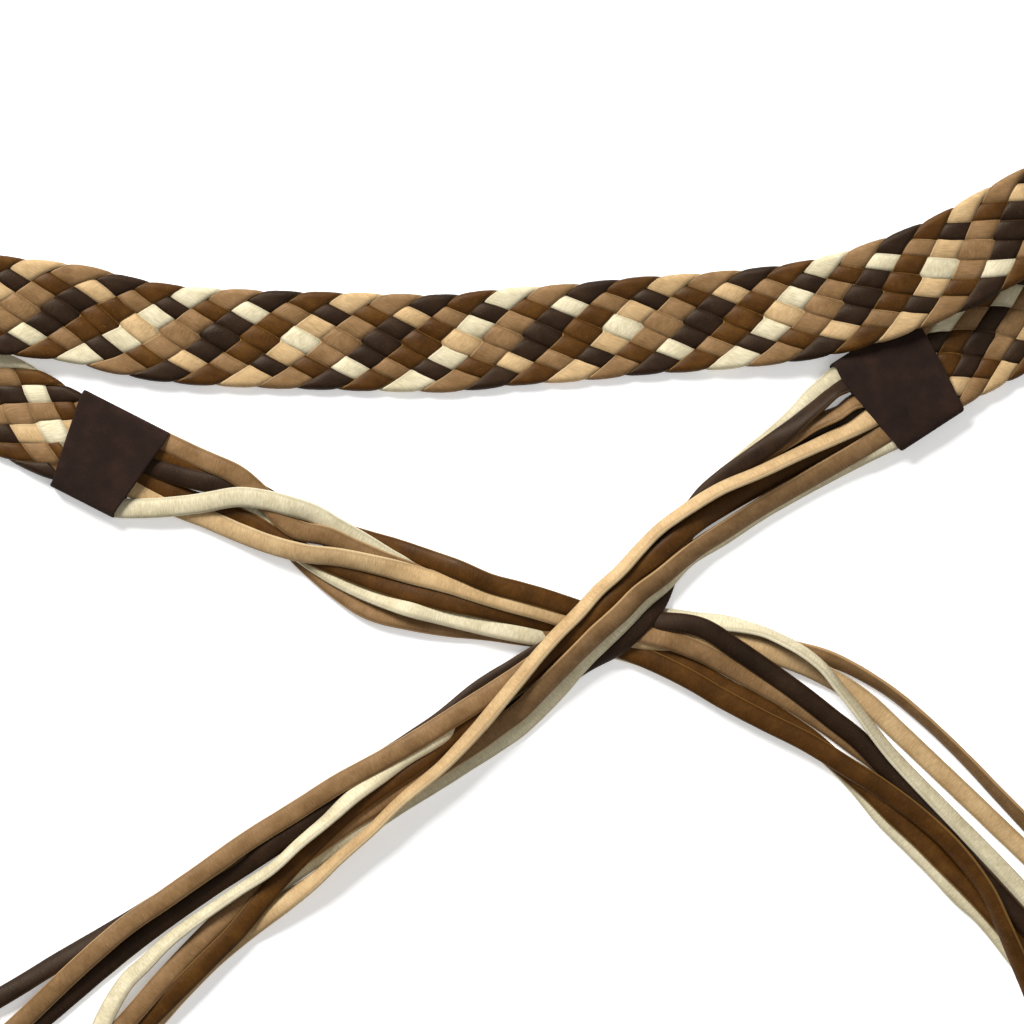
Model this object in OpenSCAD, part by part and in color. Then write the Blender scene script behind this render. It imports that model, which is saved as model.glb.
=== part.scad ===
// Rein of eight flat leather laces. The laces are plaited into a flat strap, and at each end
// of the strap a suede wrap binds them. Past the wraps the laces run on loose.
// The rein lies on its standing surface, z = 0, folded back at both sides.

/* [Plaited strap] */
// Width of the plaited strap between its edge folds' middles
strap_w = 22.2; // [20:0.1:24]
// Distance along the strap from one edge fold to the next
fold_pitch = 9.67; // [8.5:0.01:11]
// How far the top edge's folds lag behind the bottom edge's, as a share of the width
skew = 0.39; // [0:0.01:0.6]
// Share of the fold pitch that one lace fills in the plait
lace_fill = 0.84; // [0.6:0.01:0.9]
// Where the first lace's first edge fold lies along the strap
plait_start = -5.4; // [-9:0.1:9]

/* [Laces] */
// Width of one lace
lace_w = 4.8; // [3.5:0.1:5.5]
// Thickness of one lace
lace_t = 1.3; // [0.8:0.1:1.4]

/* [Suede wraps] */
// Length of each wrap along the strap
wrap_l = 17.8; // [16:0.1:24]
// Width of each wrap across the strap
wrap_w = 24.4; // [24:0.1:27]
// Thickness of each wrap
wrap_t = 5.6; // [5.4:0.1:7]
// Thickness of the wrap's suede
suede_t = 0.8; // [0.5:0.1:0.9]
// Length of the thread binding under each wrap
binding_l = 8; // [4:0.5:12]

/* [Hidden] */

// Leather tones
CREAM = "#e2dab8";
TAN = "#d9b580";
CAMEL = "#a07854";
BROWN = "#62441e";
ESPRESSO = "#322626";
SUEDE = "#2a1b15";
THREAD = "#4a3a2e";
STRAND_TONES = [CREAM, CAMEL, ESPRESSO, BROWN, TAN, CAMEL, ESPRESSO, BROWN];
LEFT_TONES = [CAMEL, CAMEL, CREAM, ESPRESSO, BROWN, BROWN, TAN, CREAM];
RIGHT_TONES = [CREAM, ESPRESSO, CAMEL, ESPRESSO, TAN, BROWN, CAMEL, CREAM];

// The routes below are laid out about the middle of the crossing ends. This shift puts the
// origin under the middle of the strap's own box.
layout_shift = [3.75, -53.41, 0];

lay_z = wrap_t / 2;                  // height of the strap's middle inside a wrap
layer_z = lace_t / 2 + 0.05;         // how far a lace's middle is from the strap's middle

// Left wrap's and right wrap's middles, and the strap's direction there, in degrees
LEFT_WRAP = [-97, 13, lay_z];
LEFT_TURN = 153;
RIGHT_WRAP = [94, 29.5, lay_z];
RIGHT_TURN = 213;

// Route of the strap's middle line, from the left wrap round the left fold, along the long
// span, round the right fold and back to the right wrap. Each point is [x, y, z, across],
// where across is the direction of the strap's width, in degrees.
STRAP_ROUTE = [
    [-97, 13, 2.8, 63], [-105, 17, 2.7, 63], [-114, 21.5, 2, 63], [-123, 26, 1.6, 63],
    [-137, 33, 1.5, 63], [-150, 39.5, 1.5, 64], [-163, 46, 1.5, 66], [-176, 52.5, 1.5, 68],
    [-188, 58.5, 1.5, 69], [-197, 63, 2.3, 70], [-203, 65.5, 5, 70.5], [-205, 66.5, 9, 70.5],
    [-203, 66, 13, 70.5], [-197, 65, 15.6, 71], [-188, 63, 16, 73], [-176, 60.5, 14.5, 76],
    [-163, 58, 12, 78], [-150, 55, 9.5, 78], [-137, 52, 7.2, 79], [-123, 49.5, 5.5, 79],
    [-105, 47.5, 4, 82], [-92.5, 44.5, 3, 84], [-80, 42.5, 2.3, 86], [-62, 41.5, 1.7, 88],
    [-45, 41, 1.5, 90], [-26, 40.5, 1.5, 90], [-14, 40.5, 1.5, 91], [0, 42, 1.5, 93],
    [15, 43, 1.5, 94], [30, 44.5, 1.6, 93], [45, 45.5, 2, 94], [57.5, 46.5, 3, 96],
    [69.5, 48, 4.6, 100], [81, 50.5, 6.4, 108], [93, 54.5, 7.6, 114], [105, 59.5, 8.2, 118],
    [116, 65.5, 8.6, 119], [128, 72, 9.3, 119], [141, 79, 10.6, 118], [154, 85, 12.4, 118],
    [167, 90, 14.3, 119], [178, 94, 15.9, 122], [186, 97, 16.3, 124], [193, 99, 13.8, 124.5],
    [195.5, 99.5, 9, 124.5], [193, 98, 4.6, 124.5], [186, 93, 1.9, 125], [177, 86, 1.5, 126],
    [167, 78, 1.5, 126], [155, 69, 1.5, 125], [144, 61, 1.5, 124], [133, 53.5, 1.5, 123],
    [123, 47, 1.7, 123], [112, 40.5, 2.2, 123], [103, 35, 2.7, 123], [94, 29.5, 2.8, 123]
];

// Routes of the loose laces, from the middle of each wrap to their cut ends. Each point is
// [x, y, z, roll], where roll turns the lace's flat side about its run, in degrees.
LEFT_ROUTES = [
    // left lace 1
    [[-86, 18, 3.6, 0], [-83.5, 17, 3.6, 0], [-75, 13, 3.6, 10], [-66, 9, 3.6, 20], [-60, 4, 2.8, 10], 
     [-55, -1.5, 2.8, 0], [-50.5, -4.5, 3.6, 0], [-44, -6, 4, 10], [-37.5, -9, 4.2, 10], 
     [-30.5, -12, 3.8, 10], [-24, -14.5, 3.4, 0], [-16, -18, 2.8, 0], [-6.5, -20.5, 2.2, 0], 
     [3, -23, 2.2, 0], [12.5, -25, 2.2, 0], [26, -27.5, 1.8, 0], [40.5, -29.5, 1.4, 0], 
     [54.5, -30.5, 1.6, 20], [66.5, -33, 2.4, 50], [77.5, -36, 2.6, 65], [88.5, -42, 2.6, 70], 
     [98, -49.5, 2.6, 70], [107.5, -58.5, 2.6, 70], [117, -68.5, 2.6, 65], [131.5, -83.5, 2.4, 45], 
     [146, -98, 1.8, 25], [162.5, -113.5, 1.2, 10]],
    // left lace 2
    [[-87, 17, 1.8, 0], [-84, 15.5, 1.8, 0], [-75, 10.5, 1.4, 0], [-65.5, 5.5, 0.8, 0], [-58, -2, 0.8, 0], 
     [-51, -10.5, 1, 0], [-42.5, -18, 1.8, -20], [-34, -23.5, 2.2, -30], [-24.5, -26, 2.2, -30], 
     [-15, -27.5, 2.2, -20], [-5.5, -28.5, 2, 0], [4.5, -30, 1.4, 0], [15, -30, 2.2, 0], [26, -28.5, 3, 0], 
     [35.5, -30, 3.4, 10], [45, -33.5, 3.4, 15], [54.5, -38.5, 3.4, 15], [64.5, -44, 3.4, 15], 
     [74, -50, 3.2, 15], [81.5, -55.5, 2.8, 10], [89.5, -61.5, 2.6, 10], [98, -70.5, 2.2, 0], 
     [107.5, -81, 2.2, 0], [117, -90.5, 2, 0], [131.5, -105, 1.8, 0], [153, -125.5, 1.4, 0]],
    // left lace 3
    [[-87.5, 15.5, 2.8, 0], [-85, 13.5, 2.6, 0], [-78, 10, 2.2, 0], [-69.5, 5.5, 1.6, 0], 
     [-60.5, -2, 0.8, 0], [-51.5, -9, 1.6, -10], [-43.5, -14.5, 3, -30], [-36, -18.5, 3.6, -40], 
     [-27, -22, 3.6, -45], [-17.5, -24.5, 3.6, -40], [-7, -27, 3.6, -20], [2.5, -29, 2.8, 0], 
     [10.5, -30.5, 1.8, 0], [18.5, -31.5, 1.2, 0], [30.5, -34.5, 0.8, 0], [45, -40.5, 0.8, 0], 
     [59.5, -48, 0.8, 0], [73, -56, 0.8, 0], [82, -64.5, 0.8, 0], [89, -73, 1, 0], [95.5, -79.5, 1, 0], 
     [101.5, -85.5, 1, 0], [107.5, -92, 1, 0], [114, -98, 1, 0], [126.5, -113.5, 1, 0], 
     [143.5, -131, 1, 0]],
    // left lace 4
    [[-89, 12.5, 3.2, 0], [-86.5, 11, 3.2, 0], [-75, 7.5, 3.4, 0], [-63, 5.5, 3.2, 10], [-53.5, 0, 1.8, 0], 
     [-42.5, -7, 1.2, 0], [-30.5, -14.5, 0.8, 0], [-17.5, -20.5, 1.2, 0], [-3, -24, 1.4, 0], 
     [11.5, -26, 1.4, 0], [24.5, -25.5, 2.2, 0], [35, -26, 3.6, 0], [45, -28.5, 4.2, 0], [54, -33, 4.2, 0], 
     [62, -38.5, 4.2, 0], [69, -44.5, 4.2, 10], [76, -48.5, 3.8, 15], [83.5, -55, 3.6, 10], 
     [91, -63, 3.4, 0], [99.5, -71.5, 3.2, 0], [108.5, -83, 2.8, 0], [118.5, -94, 2.6, 0], 
     [131.5, -108, 2.2, 0], [149.5, -128, 1.8, 0]],
    // left lace 5
    [[-90.5, 10.5, 2.4, 0], [-88.5, 8.5, 2.4, 0], [-81, 4.5, 2.2, 0], [-72, 1, 2.2, 0], [-63, -2.5, 2, 0], 
     [-53.5, -8, 2, 0], [-43, -12.5, 2.8, -10], [-31.5, -17, 3.4, -20], [-19.5, -20.5, 3.6, -20], 
     [-7.5, -23, 3.6, -20], [3, -25.5, 3.2, -10], [12.5, -28, 2.6, 0], [22.5, -31.5, 1.6, 0], 
     [32, -35, 1.8, 0], [41.5, -39.5, 2.2, 0], [51, -45, 2.6, 0], [60.5, -50, 2.8, 0], [70.5, -55, 3, 0], 
     [81, -61.5, 3.6, 10], [89.5, -67, 4.6, 20], [98, -73.5, 5, 30], [105.5, -80.5, 5.2, 40], 
     [112.5, -89.5, 4.8, 50], [117, -98.5, 4, 50], [121.5, -108.5, 2.8, 40], [128, -123, 1.6, 20], 
     [135, -137.5, 1.2, 0]],
    // left lace 6
    [[-87.5, 16.5, 3.6, 0], [-85, 14.5, 3.2, 0], [-75, 11, 2.8, 0], [-65.5, 7, 2.6, 0], [-58, 2, 2, 0], 
     [-51, -1.5, 1.6, 0], [-42.5, -4.5, 1.6, 0], [-34, -7, 1.8, 0], [-27, -9, 2.2, 0], 
     [-19.5, -11.5, 3.2, 10], [-12.5, -14, 4.2, 20], [-5.5, -17, 5, 20], [2, -19, 5, 10], 
     [10.5, -21.5, 4.2, 0], [21, -25.5, 2.2, 0], [30.5, -30.5, 1.6, 0], [40.5, -36, 1.6, 0], 
     [51, -42, 1.6, 0], [62, -48, 1.6, 0], [71, -54, 1.6, 0], [78.5, -60.5, 1.6, 0], [85.5, -66.5, 1.8, 0], 
     [91.5, -72.5, 2.2, 0], [97.5, -78, 2.2, 0], [103.5, -84, 2.2, 0], [109.5, -90, 2.2, 0], 
     [115.5, -96.5, 2.2, 0], [128, -111, 1.8, 0], [141, -125.5, 1.4, 0]],
    // left lace 7
    [[-93, 7.5, 2.6, 0], [-90.5, 5.5, 2.4, 0], [-82.5, 2, 2, 0], [-73.5, -1.5, 2, 0], [-65.5, -5, 2.8, 10], 
     [-57.5, -8, 3.6, 20], [-49.5, -10, 4.6, 30], [-41, -11, 5, 35], [-31.5, -13, 5, 35], 
     [-23.5, -15, 5, 30], [-15.5, -17, 4.6, 20], [-7.5, -19.5, 4.4, 10], [-0.5, -21.5, 4.2, 0], 
     [8.5, -24, 3.6, 0], [20, -28, 2.6, 0], [32, -30.5, 1.8, 0], [45, -31, 1.8, 0], [57, -32.5, 2.2, 0], 
     [68, -36, 2.6, 0], [77.5, -40.5, 2.8, 0], [85.5, -46, 2.2, 0], [93, -53, 1.4, 0], [102.5, -62, 1, 0], 
     [112.5, -71.5, 1, 0], [124.5, -83, 1, 0], [138.5, -96.5, 1, 0], [155.5, -111, 1, 0]],
    // left lace 8
    [[-97, 3, 2.6, 0], [-94.5, 1, 2.8, 0], [-85, 1, 3.6, 0], [-75, 2, 4.8, 0], [-66, 3.5, 5.6, 0], 
     [-59.5, 3, 5.6, 10], [-53.5, 1.5, 5, 20], [-47.5, -0.5, 4.4, 30], [-41.5, -4, 3.6, 30], 
     [-35.5, -7.5, 3.2, 20], [-29, -11.5, 2.8, 10], [-21, -15.5, 2.2, 0], [-12.5, -18.5, 1.8, 0], 
     [-1.5, -21, 1.8, 0], [10.5, -24, 1.8, 0], [22.5, -25.5, 2, 0], [30.5, -25.5, 2.2, 0], 
     [37.5, -25.5, 2.4, -15], [44.5, -26, 3.4, -45], [52, -26.5, 4.6, -68], [59, -28, 5.2, -74], 
     [64, -30, 5.2, -74], [69.5, -33, 5.2, -74], [74.5, -37, 5.2, -74], [78.5, -42, 5.2, -72], 
     [83, -47.5, 5, -68], [87.5, -53.5, 5, -62], [93, -60, 4.6, -55], [104.5, -72, 4.4, -45], 
     [117, -85, 4.2, -35], [131.5, -100.5, 3.4, -15], [150.5, -118.5, 2.6, 0]]
];

RIGHT_ROUTES = [
    // right lace 1
    [[85.5, 36.5, 2.6, 0], [82.5, 35, 2.6, 0], [79, 33.5, 2.4, 0], [75.5, 30.5, 2.2, 0], 
     [72, 27.5, 2.2, 0], [69, 24, 2, 0], [66, 21, 1.8, 0], [62, 17.5, 1.4, 0], [56.5, 13, 1.4, 0], 
     [49, 6, 1.2, 0], [41, -1.5, 2, 0], [33, -9.5, 3.4, 0], [26, -17.5, 4.8, 0], [19, -26, 6.2, 0], 
     [13, -32, 7, 0], [6.5, -37.5, 7, 0], [-1, -43, 6.4, 0], [-10, -48.5, 5.2, 0], [-18.5, -54, 5, 0], 
     [-26, -58.5, 4.8, 15], [-32, -63, 4.6, 35], [-38.5, -68, 4.6, 55], [-44.5, -73.5, 4.6, 68], 
     [-51, -79, 4.6, 76], [-57.5, -85, 4.6, 75], [-65, -90, 4.6, 74], [-73, -95.5, 4.6, 70], 
     [-78, -99, 4.4, 66], [-83, -103, 4.2, 60], [-88, -108, 4, 50], [-93, -113, 3.6, 40], 
     [-98, -122, 3.2, 20], [-102.5, -135, 2.2, 0], [-108.5, -147, 1.6, 0]],
    // right lace 2
    [[87, 34.5, 3, 0], [84, 33, 3.2, 10], [80.5, 31, 3.6, 35], [77, 29, 4, 55], [73.5, 26, 4.2, 60], 
     [70, 23, 4.6, 50], [66, 19.5, 4.8, 30], [61.5, 16, 4.8, 10], [56, 12, 4.6, 0], [50.5, 8, 4.6, 0], 
     [46, 4, 4.6, 0], [42, -1, 4.6, 0], [36, -7, 4.8, 0], [29.5, -13.5, 5.4, 0], [22.5, -20.5, 5.8, 0], 
     [14, -29, 6, 0], [3, -36, 5, 0], [-7.5, -42.5, 3.8, 0], [-17.5, -50.5, 2.6, 0], [-28, -57.5, 1.4, 0], 
     [-40, -65, 1, 0], [-52, -72, 1.2, 10], [-64, -80, 2, 30], [-75, -87, 2.4, 50], [-85, -93.5, 2.6, 60], 
     [-96.5, -100.5, 2.6, 60], [-108.5, -107.5, 2.4, 50], [-121.5, -115.5, 2, 30], 
     [-137.5, -124.5, 0.8, 0]],
    // right lace 3
    [[89, 30, 3.2, 0], [86, 28, 3.4, 20], [81.5, 26.5, 3.8, 45], [78, 24, 4, 55], [74.5, 22.5, 4, 50], 
     [71, 21, 3.8, 40], [67, 18.5, 3.6, 20], [63, 16, 3.4, 0], [56.5, 12, 2.6, 0], [49, 6, 1.8, 0], 
     [41, -2.5, 2.6, 0], [32.5, -10.5, 4, 0], [24, -19, 5.4, 0], [15, -28.5, 6.2, 0], [6, -36, 6.4, 0], 
     [-3, -42, 7, 0], [-12.5, -48, 6.4, 0], [-22, -54, 6, 0], [-31.5, -59.5, 5.6, 0], [-41.5, -65, 5.2, 0], 
     [-52.5, -72, 4.6, 0], [-63, -78.5, 4, 0], [-73, -85.5, 3.8, 0], [-83, -92.5, 3.6, 0], 
     [-93, -99.5, 3.6, 0], [-105.5, -110.5, 3.2, 0], [-117, -121.5, 2.6, 0], [-129, -132.5, 1.8, 0]],
    // right lace 4
    [[90, 27, 3, 0], [87, 25.5, 3, 0], [81.5, 24, 3, 10], [76, 21.5, 3, 20], [70, 19, 2.8, 20], 
     [64, 15.5, 2.8, 10], [57.5, 12, 2.8, 0], [52, 8.5, 2.8, 0], [47.5, 4.5, 2.8, 0], [44, -0.5, 2.8, 0], 
     [40.5, -7, 2.8, 0], [37.5, -15, 3.4, 0], [34.5, -22, 4.2, -20], [30, -27.5, 5.4, -30], 
     [24.5, -32.5, 5.8, -30], [18, -36, 5.6, -20], [10.5, -40.5, 5, 0], [1.5, -45, 4.2, 0], 
     [-9, -50.5, 3.2, 0], [-19.5, -57.5, 2, 0], [-31.5, -65.5, 1.8, 0], [-42, -71, 2, 0], [-52, -77, 2, 0], 
     [-63, -84, 2, 0], [-73, -90.5, 1.8, 0], [-83, -97.5, 1.8, 0], [-93.5, -105.5, 1.8, 0], 
     [-106, -116, 1.6, 0], [-117.5, -126, 1.4, 0], [-129.5, -138, 1.2, 0]],
    // right lace 5
    [[91, 22.5, 3.8, 0], [88, 23.5, 4.2, 0], [80, 19.5, 4.8, 45], [69, 14.5, 5.2, 65], [59.5, 10, 5.4, 68], 
     [50, 6, 5.6, 68], [42.5, 1.5, 5.8, 68], [35.5, -3.5, 6.4, 65], [30.5, -8.5, 7.2, 60], 
     [25.5, -14, 8.2, 58], [20.5, -18.5, 9.2, 58], [16, -23.5, 9.8, 58], [11, -28.5, 10.2, 58], 
     [6.5, -33.5, 10.2, 58], [2, -39, 9.6, 58], [-3, -45, 8.4, 58], [-7.5, -50.5, 7.6, 58], 
     [-12.5, -56, 7, 62], [-18, -61.5, 6.4, 68], [-27, -69, 5.4, 72], [-34, -76, 5, 72], 
     [-41.5, -82.5, 4.6, 70], [-47.5, -88, 3.8, 60], [-54, -93, 2.8, 30], [-62.5, -99.5, 1.4, 0], 
     [-71.5, -107, 1.2, 0], [-79.5, -115, 1.2, 0], [-88, -124.5, 1.2, 0], [-100, -137.5, 1.2, 0]],
    // right lace 6
    [[92, 21, 3.2, 0], [89.5, 21, 3.2, 0], [81, 16.5, 3.8, 0], [69, 11.5, 4.2, 0], [59.5, 6.5, 4.2, 0], 
     [50.5, 1.5, 4.4, 0], [43.5, -3, 4.6, 0], [36, -9.5, 5.4, 0], [30.5, -14, 6, 0], [25.5, -19.5, 7, 0], 
     [20.5, -24, 7.6, 0], [15.5, -28.5, 7.8, 0], [9.5, -33.5, 7.6, 0], [3, -39.5, 6.8, 0], 
     [-4.5, -45.5, 6, 0], [-13, -52.5, 5, 0], [-22.5, -60, 4.6, 0], [-31.5, -66, 4.2, 0], 
     [-39.5, -72, 4, 0], [-46.5, -78.5, 3.8, 0], [-53.5, -85.5, 3.6, 0], [-59.5, -92.5, 3.6, 0], 
     [-66, -100.5, 3.4, 0], [-73.5, -108, 2.8, 0], [-81.5, -116, 2.2, 0], [-90, -124.5, 1.8, 0], 
     [-102.5, -137.5, 1.4, 0], [-113.5, -148.5, 1.4, 0]],
    // right lace 7
    [[93.5, 19.5, 3.6, 0], [91, 19.5, 3.8, 0], [81, 13.5, 4.8, -20], [69, 6.5, 5, -30], 
     [59.5, 1, 5.2, -30], [51, -4.5, 5.4, -30], [44, -9, 5.6, -30], [36, -15.5, 6.8, -30], 
     [30.5, -19.5, 7.6, -30], [26, -24, 8.2, -30], [21, -28.5, 8.6, -30], [16.5, -33, 8.6, -30], 
     [11.5, -38, 8.4, -30], [7, -42.5, 7.8, -30], [2, -47.5, 7, -20], [-3.5, -51.5, 5.6, -10], 
     [-9, -55.5, 4.6, 0], [-16, -60, 3.6, 0], [-24.5, -65.5, 2.6, 0], [-36.5, -72.5, 2.2, 0], 
     [-48.5, -81, 2.2, 0], [-59.5, -89, 2.8, 0], [-69, -97, 3, 0], [-77.5, -105.5, 3.2, 0], 
     [-85, -113.5, 3, 0], [-92, -121.5, 2.6, 0], [-102.5, -132.5, 2, 0], [-115.5, -146, 1.4, 0]],
    // right lace 8
    [[95, 18, 3.2, 0], [92, 17.5, 3.2, 0], [81, 12, 3.6, -20], [69, 5.5, 3.8, -35], [59.5, 0, 4.2, -40], 
     [50.5, -6, 4.2, -45], [42.5, -11, 4.8, -50], [36.5, -17, 5.6, -50], [31, -21.5, 6.4, -50], 
     [26.5, -26, 7, -50], [21.5, -31, 7.2, -50], [16.5, -36.5, 7, -50], [11.5, -42.5, 6.4, -45], 
     [6.5, -47.5, 5.6, -40], [1.5, -52, 4.8, -40], [-4.5, -56, 4, -35], [-11, -60, 3.2, -25], 
     [-18, -64.5, 2.8, -10], [-27, -70, 2.2, 0], [-39, -78, 1.8, 0], [-51, -85.5, 1.8, 0], 
     [-63, -95, 1.6, 0], [-75, -106, 1.6, 0], [-87, -118, 1.4, 0], [-99, -130.5, 1.4, 0], 
     [-108.5, -141, 1.2, 0]]
];

// ---- Curves ----

function bend(a, b, c, d, t) =
    0.5 * (2 * b + (c - a) * t + (2 * a - 5 * b + 4 * c - d) * t * t
        + (3 * b - 3 * c + d - a) * t * t * t);

// A smooth curve through the points p, with n steps from each point to the next
function curve(p, n) = concat(
    [for (i = [0:len(p) - 2]) for (k = [0:n - 1])
        bend(p[max(i - 1, 0)], p[i], p[i + 1], p[min(i + 2, len(p) - 1)], k / n)],
    [p[len(p) - 1]]);

function xyz(p) = [p[0], p[1], p[2]];
function unit(v) = v / norm(v);
function heading(c, i) = unit(xyz(c[min(i + 1, len(c) - 1)]) - xyz(c[max(i - 1, 0)]));

// ---- Strap frame: tables against the length along the middle line ----

STRAP_STEPS = 4;
strap = curve(STRAP_ROUTE, STRAP_STEPS);
strap_at = [for (i = 0, s = 0; i < len(strap);
    s = s + (i + 1 < len(strap) ? norm(xyz(strap[i + 1]) - xyz(strap[i])) : 0), i = i + 1) s];
strap_len = strap_at[len(strap) - 1];

function across(i) = let (a = strap[i][3], h = [cos(a), sin(a), 0], t = heading(strap, i))
    unit(h - (h * t) * t);

function table(values, axis) = [for (i = [0:len(strap) - 1]) [strap_at[i], values[i][axis]]];
ACROSS = [for (i = [0:len(strap) - 1]) across(i)];
UPWARD = [for (i = [0:len(strap) - 1]) cross(heading(strap, i), ACROSS[i])];
POINT_TABLES = [for (axis = [0:2]) table(strap, axis)];
ACROSS_TABLES = [for (axis = [0:2]) table(ACROSS, axis)];
UPWARD_TABLES = [for (axis = [0:2]) table(UPWARD, axis)];
function read(tables, s) = [for (axis = [0:2]) lookup(s, tables[axis])];

// A place in the strap: s along it, v across it, w up from its middle
function in_strap(s, v, w) =
    read(POINT_TABLES, s) + v * read(ACROSS_TABLES, s) + w * read(UPWARD_TABLES, s);

// ---- Plait: each strand crosses the strap in CELLS steps, over one and under one ----

CELLS = 8;                           // steps across the strap, as many as there are strands
cell_w = strap_w / CELLS;            // width of one step
cell_l = fold_pitch / 2;             // length of one step
wrap_squeeze = 0.08;                 // how much narrower the plait is inside a wrap
fade_l = 20;                         // length over which the plait opens out from a wrap

// 0 at the strap's ends, 1 once it is clear of the wraps
function clear_of_wraps(s) = min(1, max(0, (min(s, strap_len - s) - wrap_l / 2) / fade_l));

// One corner of a strand's ring: m counts steps, dv is how far across the corner lies from
// the ring's middle, and face is 1 on the lace's outer face and -1 on its inner face.
function corner(first, m, along, dv, face) =
    let (
        k = m % (2 * CELLS),
        rising = k < CELLS,
        fold = k % CELLS == 0,
        up = rising ? 1 : -1,
        // across the strap, and up from its middle
        v0 = rising ? -strap_w / 2 + k * cell_w : strap_w / 2 - (k - CELLS) * cell_w,
        turn = min(90, max(-90, 90 * dv / (cell_w / 2))),
        edge = k == 0 ? -1 : 1,
        v = fold ? v0 - edge * abs(dv) : v0 + up * dv,
        w = fold ? -edge * layer_z * sin(turn) : up * (k % 2 == 1 ? 1 : -1) * layer_z,
        normal = fold ? [edge * cos(turn), -edge * sin(turn)] : [0, up],
        s = first + m * cell_l + along,
        open = clear_of_wraps(s),
        v1 = (v + normal[0] * face * lace_t / 2) * (1 - wrap_squeeze * (1 - open)),
        w1 = w + normal[1] * face * lace_t / 2
    )
    in_strap(min(strap_len, max(0, s - skew * open * v)), v1, w1);

ring_along = lace_fill * fold_pitch / 4;
ring_across = lace_fill * cell_w / 2;

function ring(first, m) = [
    corner(first, m, ring_along, -ring_across, 1),
    corner(first, m, ring_along, -ring_across, -1),
    corner(first, m, -ring_along, ring_across, -1),
    corner(first, m, -ring_along, ring_across, 1)
];

// ---- Loose laces ----

LACE_STEPS = 1;                      // rings from one route point to the next
// Half outline of a lace: a flat strip with eased edges, as shares of its width and thickness
LACE_OUTLINE = [[0.5, 0.2], [0.4, 0.5], [-0.4, 0.5], [-0.5, 0.2],
    [-0.5, -0.2], [-0.4, -0.5], [0.4, -0.5], [0.5, -0.2]];

function lace_ring(c, i) =
    let (
        t = heading(c, i),
        level = unit(cross([0, 0, 1], t)),
        upright = cross(t, level),
        roll = c[i][3],
        side = level * cos(roll) + upright * sin(roll),
        top = upright * cos(roll) - level * sin(roll)
    )
    [for (p = LACE_OUTLINE) xyz(c[i]) + side * p[0] * lace_w + top * p[1] * lace_t];

// ---- Solids ----

// A closed tube through rings of points that all have the same number of corners
module tube(rings) {
    n = len(rings[0]);
    last = (len(rings) - 1) * n;
    polyhedron(
        points = [for (r = rings) for (p = r) p],
        faces = concat(
            [[for (k = [0:n - 1]) k]],
            [for (i = [0:len(rings) - 2]) for (k = [0:n - 1]) for (f = [0, 1])
                let (a = i * n + k, b = i * n + (k + 1) % n)
                f == 0 ? [a, a + n, b + n] : [a, b + n, b]],
            [[for (k = [n - 1:-1:0]) last + k]]));
}

module strand(number) {
    first = plait_start + (number - 1) * fold_pitch - 2 * CELLS * cell_l;
    low = ceil((cell_l - first) / cell_l);
    high = floor((strap_len - cell_l - first) / cell_l);
    color(STRAND_TONES[number - 1]) translate(layout_shift)
        tube([for (m = [low:high]) ring(first, m)]);
}

module lace(routes, tones, number)
    color(tones[number - 1]) translate(layout_shift)
        let (c = curve(routes[number - 1], LACE_STEPS))
            tube([for (i = [0:len(c) - 1]) lace_ring(c, i)]);

module at_wrap(place, turn) translate(layout_shift + place) rotate([0, 0, turn]) children();

// A bar with rounded long edges, centred, running along X
module rounded_bar(l, w, t, r) rotate([90, 0, 90]) linear_extrude(l, center = true) {
    square([w - 2 * r, t], center = true);
    square([w, t - 2 * r], center = true);
    for (x = [-1, 1]) for (y = [-1, 1])
        translate([x * (w / 2 - r), y * (t / 2 - r)]) circle(r, $fn = 32);
}

wrap_round = 1.6;                    // radius of a wrap's long edges
gap = 0.05;                          // clearance between the binding and its neighbours
cavity_w = wrap_w - 2 * suede_t;
cavity_t = wrap_t - 2 * suede_t;
binding_t = 0.4;                     // thickness of the wound thread

module wrap(place, turn) color(SUEDE) at_wrap(place, turn) difference() {
    rounded_bar(wrap_l, wrap_w, wrap_t, wrap_round);
    cube([wrap_l + 1, cavity_w, cavity_t], center = true);
}

module binding(place, turn) color(THREAD) at_wrap(place, turn) difference() {
    cube([binding_l, cavity_w - 2 * gap, cavity_t - 2 * gap], center = true);
    cube([binding_l + 1, cavity_w - 2 * (gap + binding_t), cavity_t - 2 * (gap + binding_t)],
        center = true);
}

strand(1);  // strand_1
strand(2);  // strand_2
strand(3);  // strand_3
strand(4);  // strand_4
strand(5);  // strand_5
strand(6);  // strand_6
strand(7);  // strand_7
strand(8);  // strand_8
wrap(LEFT_WRAP, LEFT_TURN);  // left_wrap
wrap(RIGHT_WRAP, RIGHT_TURN);  // right_wrap
binding(LEFT_WRAP, LEFT_TURN);  // left_binding
binding(RIGHT_WRAP, RIGHT_TURN);  // right_binding
lace(LEFT_ROUTES, LEFT_TONES, 1);  // left_lace_1
lace(LEFT_ROUTES, LEFT_TONES, 2);  // left_lace_2
lace(LEFT_ROUTES, LEFT_TONES, 3);  // left_lace_3
lace(LEFT_ROUTES, LEFT_TONES, 4);  // left_lace_4
lace(LEFT_ROUTES, LEFT_TONES, 5);  // left_lace_5
lace(LEFT_ROUTES, LEFT_TONES, 6);  // left_lace_6
lace(LEFT_ROUTES, LEFT_TONES, 7);  // left_lace_7
lace(LEFT_ROUTES, LEFT_TONES, 8);  // left_lace_8
lace(RIGHT_ROUTES, RIGHT_TONES, 1);  // right_lace_1
lace(RIGHT_ROUTES, RIGHT_TONES, 2);  // right_lace_2
lace(RIGHT_ROUTES, RIGHT_TONES, 3);  // right_lace_3
lace(RIGHT_ROUTES, RIGHT_TONES, 4);  // right_lace_4
lace(RIGHT_ROUTES, RIGHT_TONES, 5);  // right_lace_5
lace(RIGHT_ROUTES, RIGHT_TONES, 6);  // right_lace_6
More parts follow.
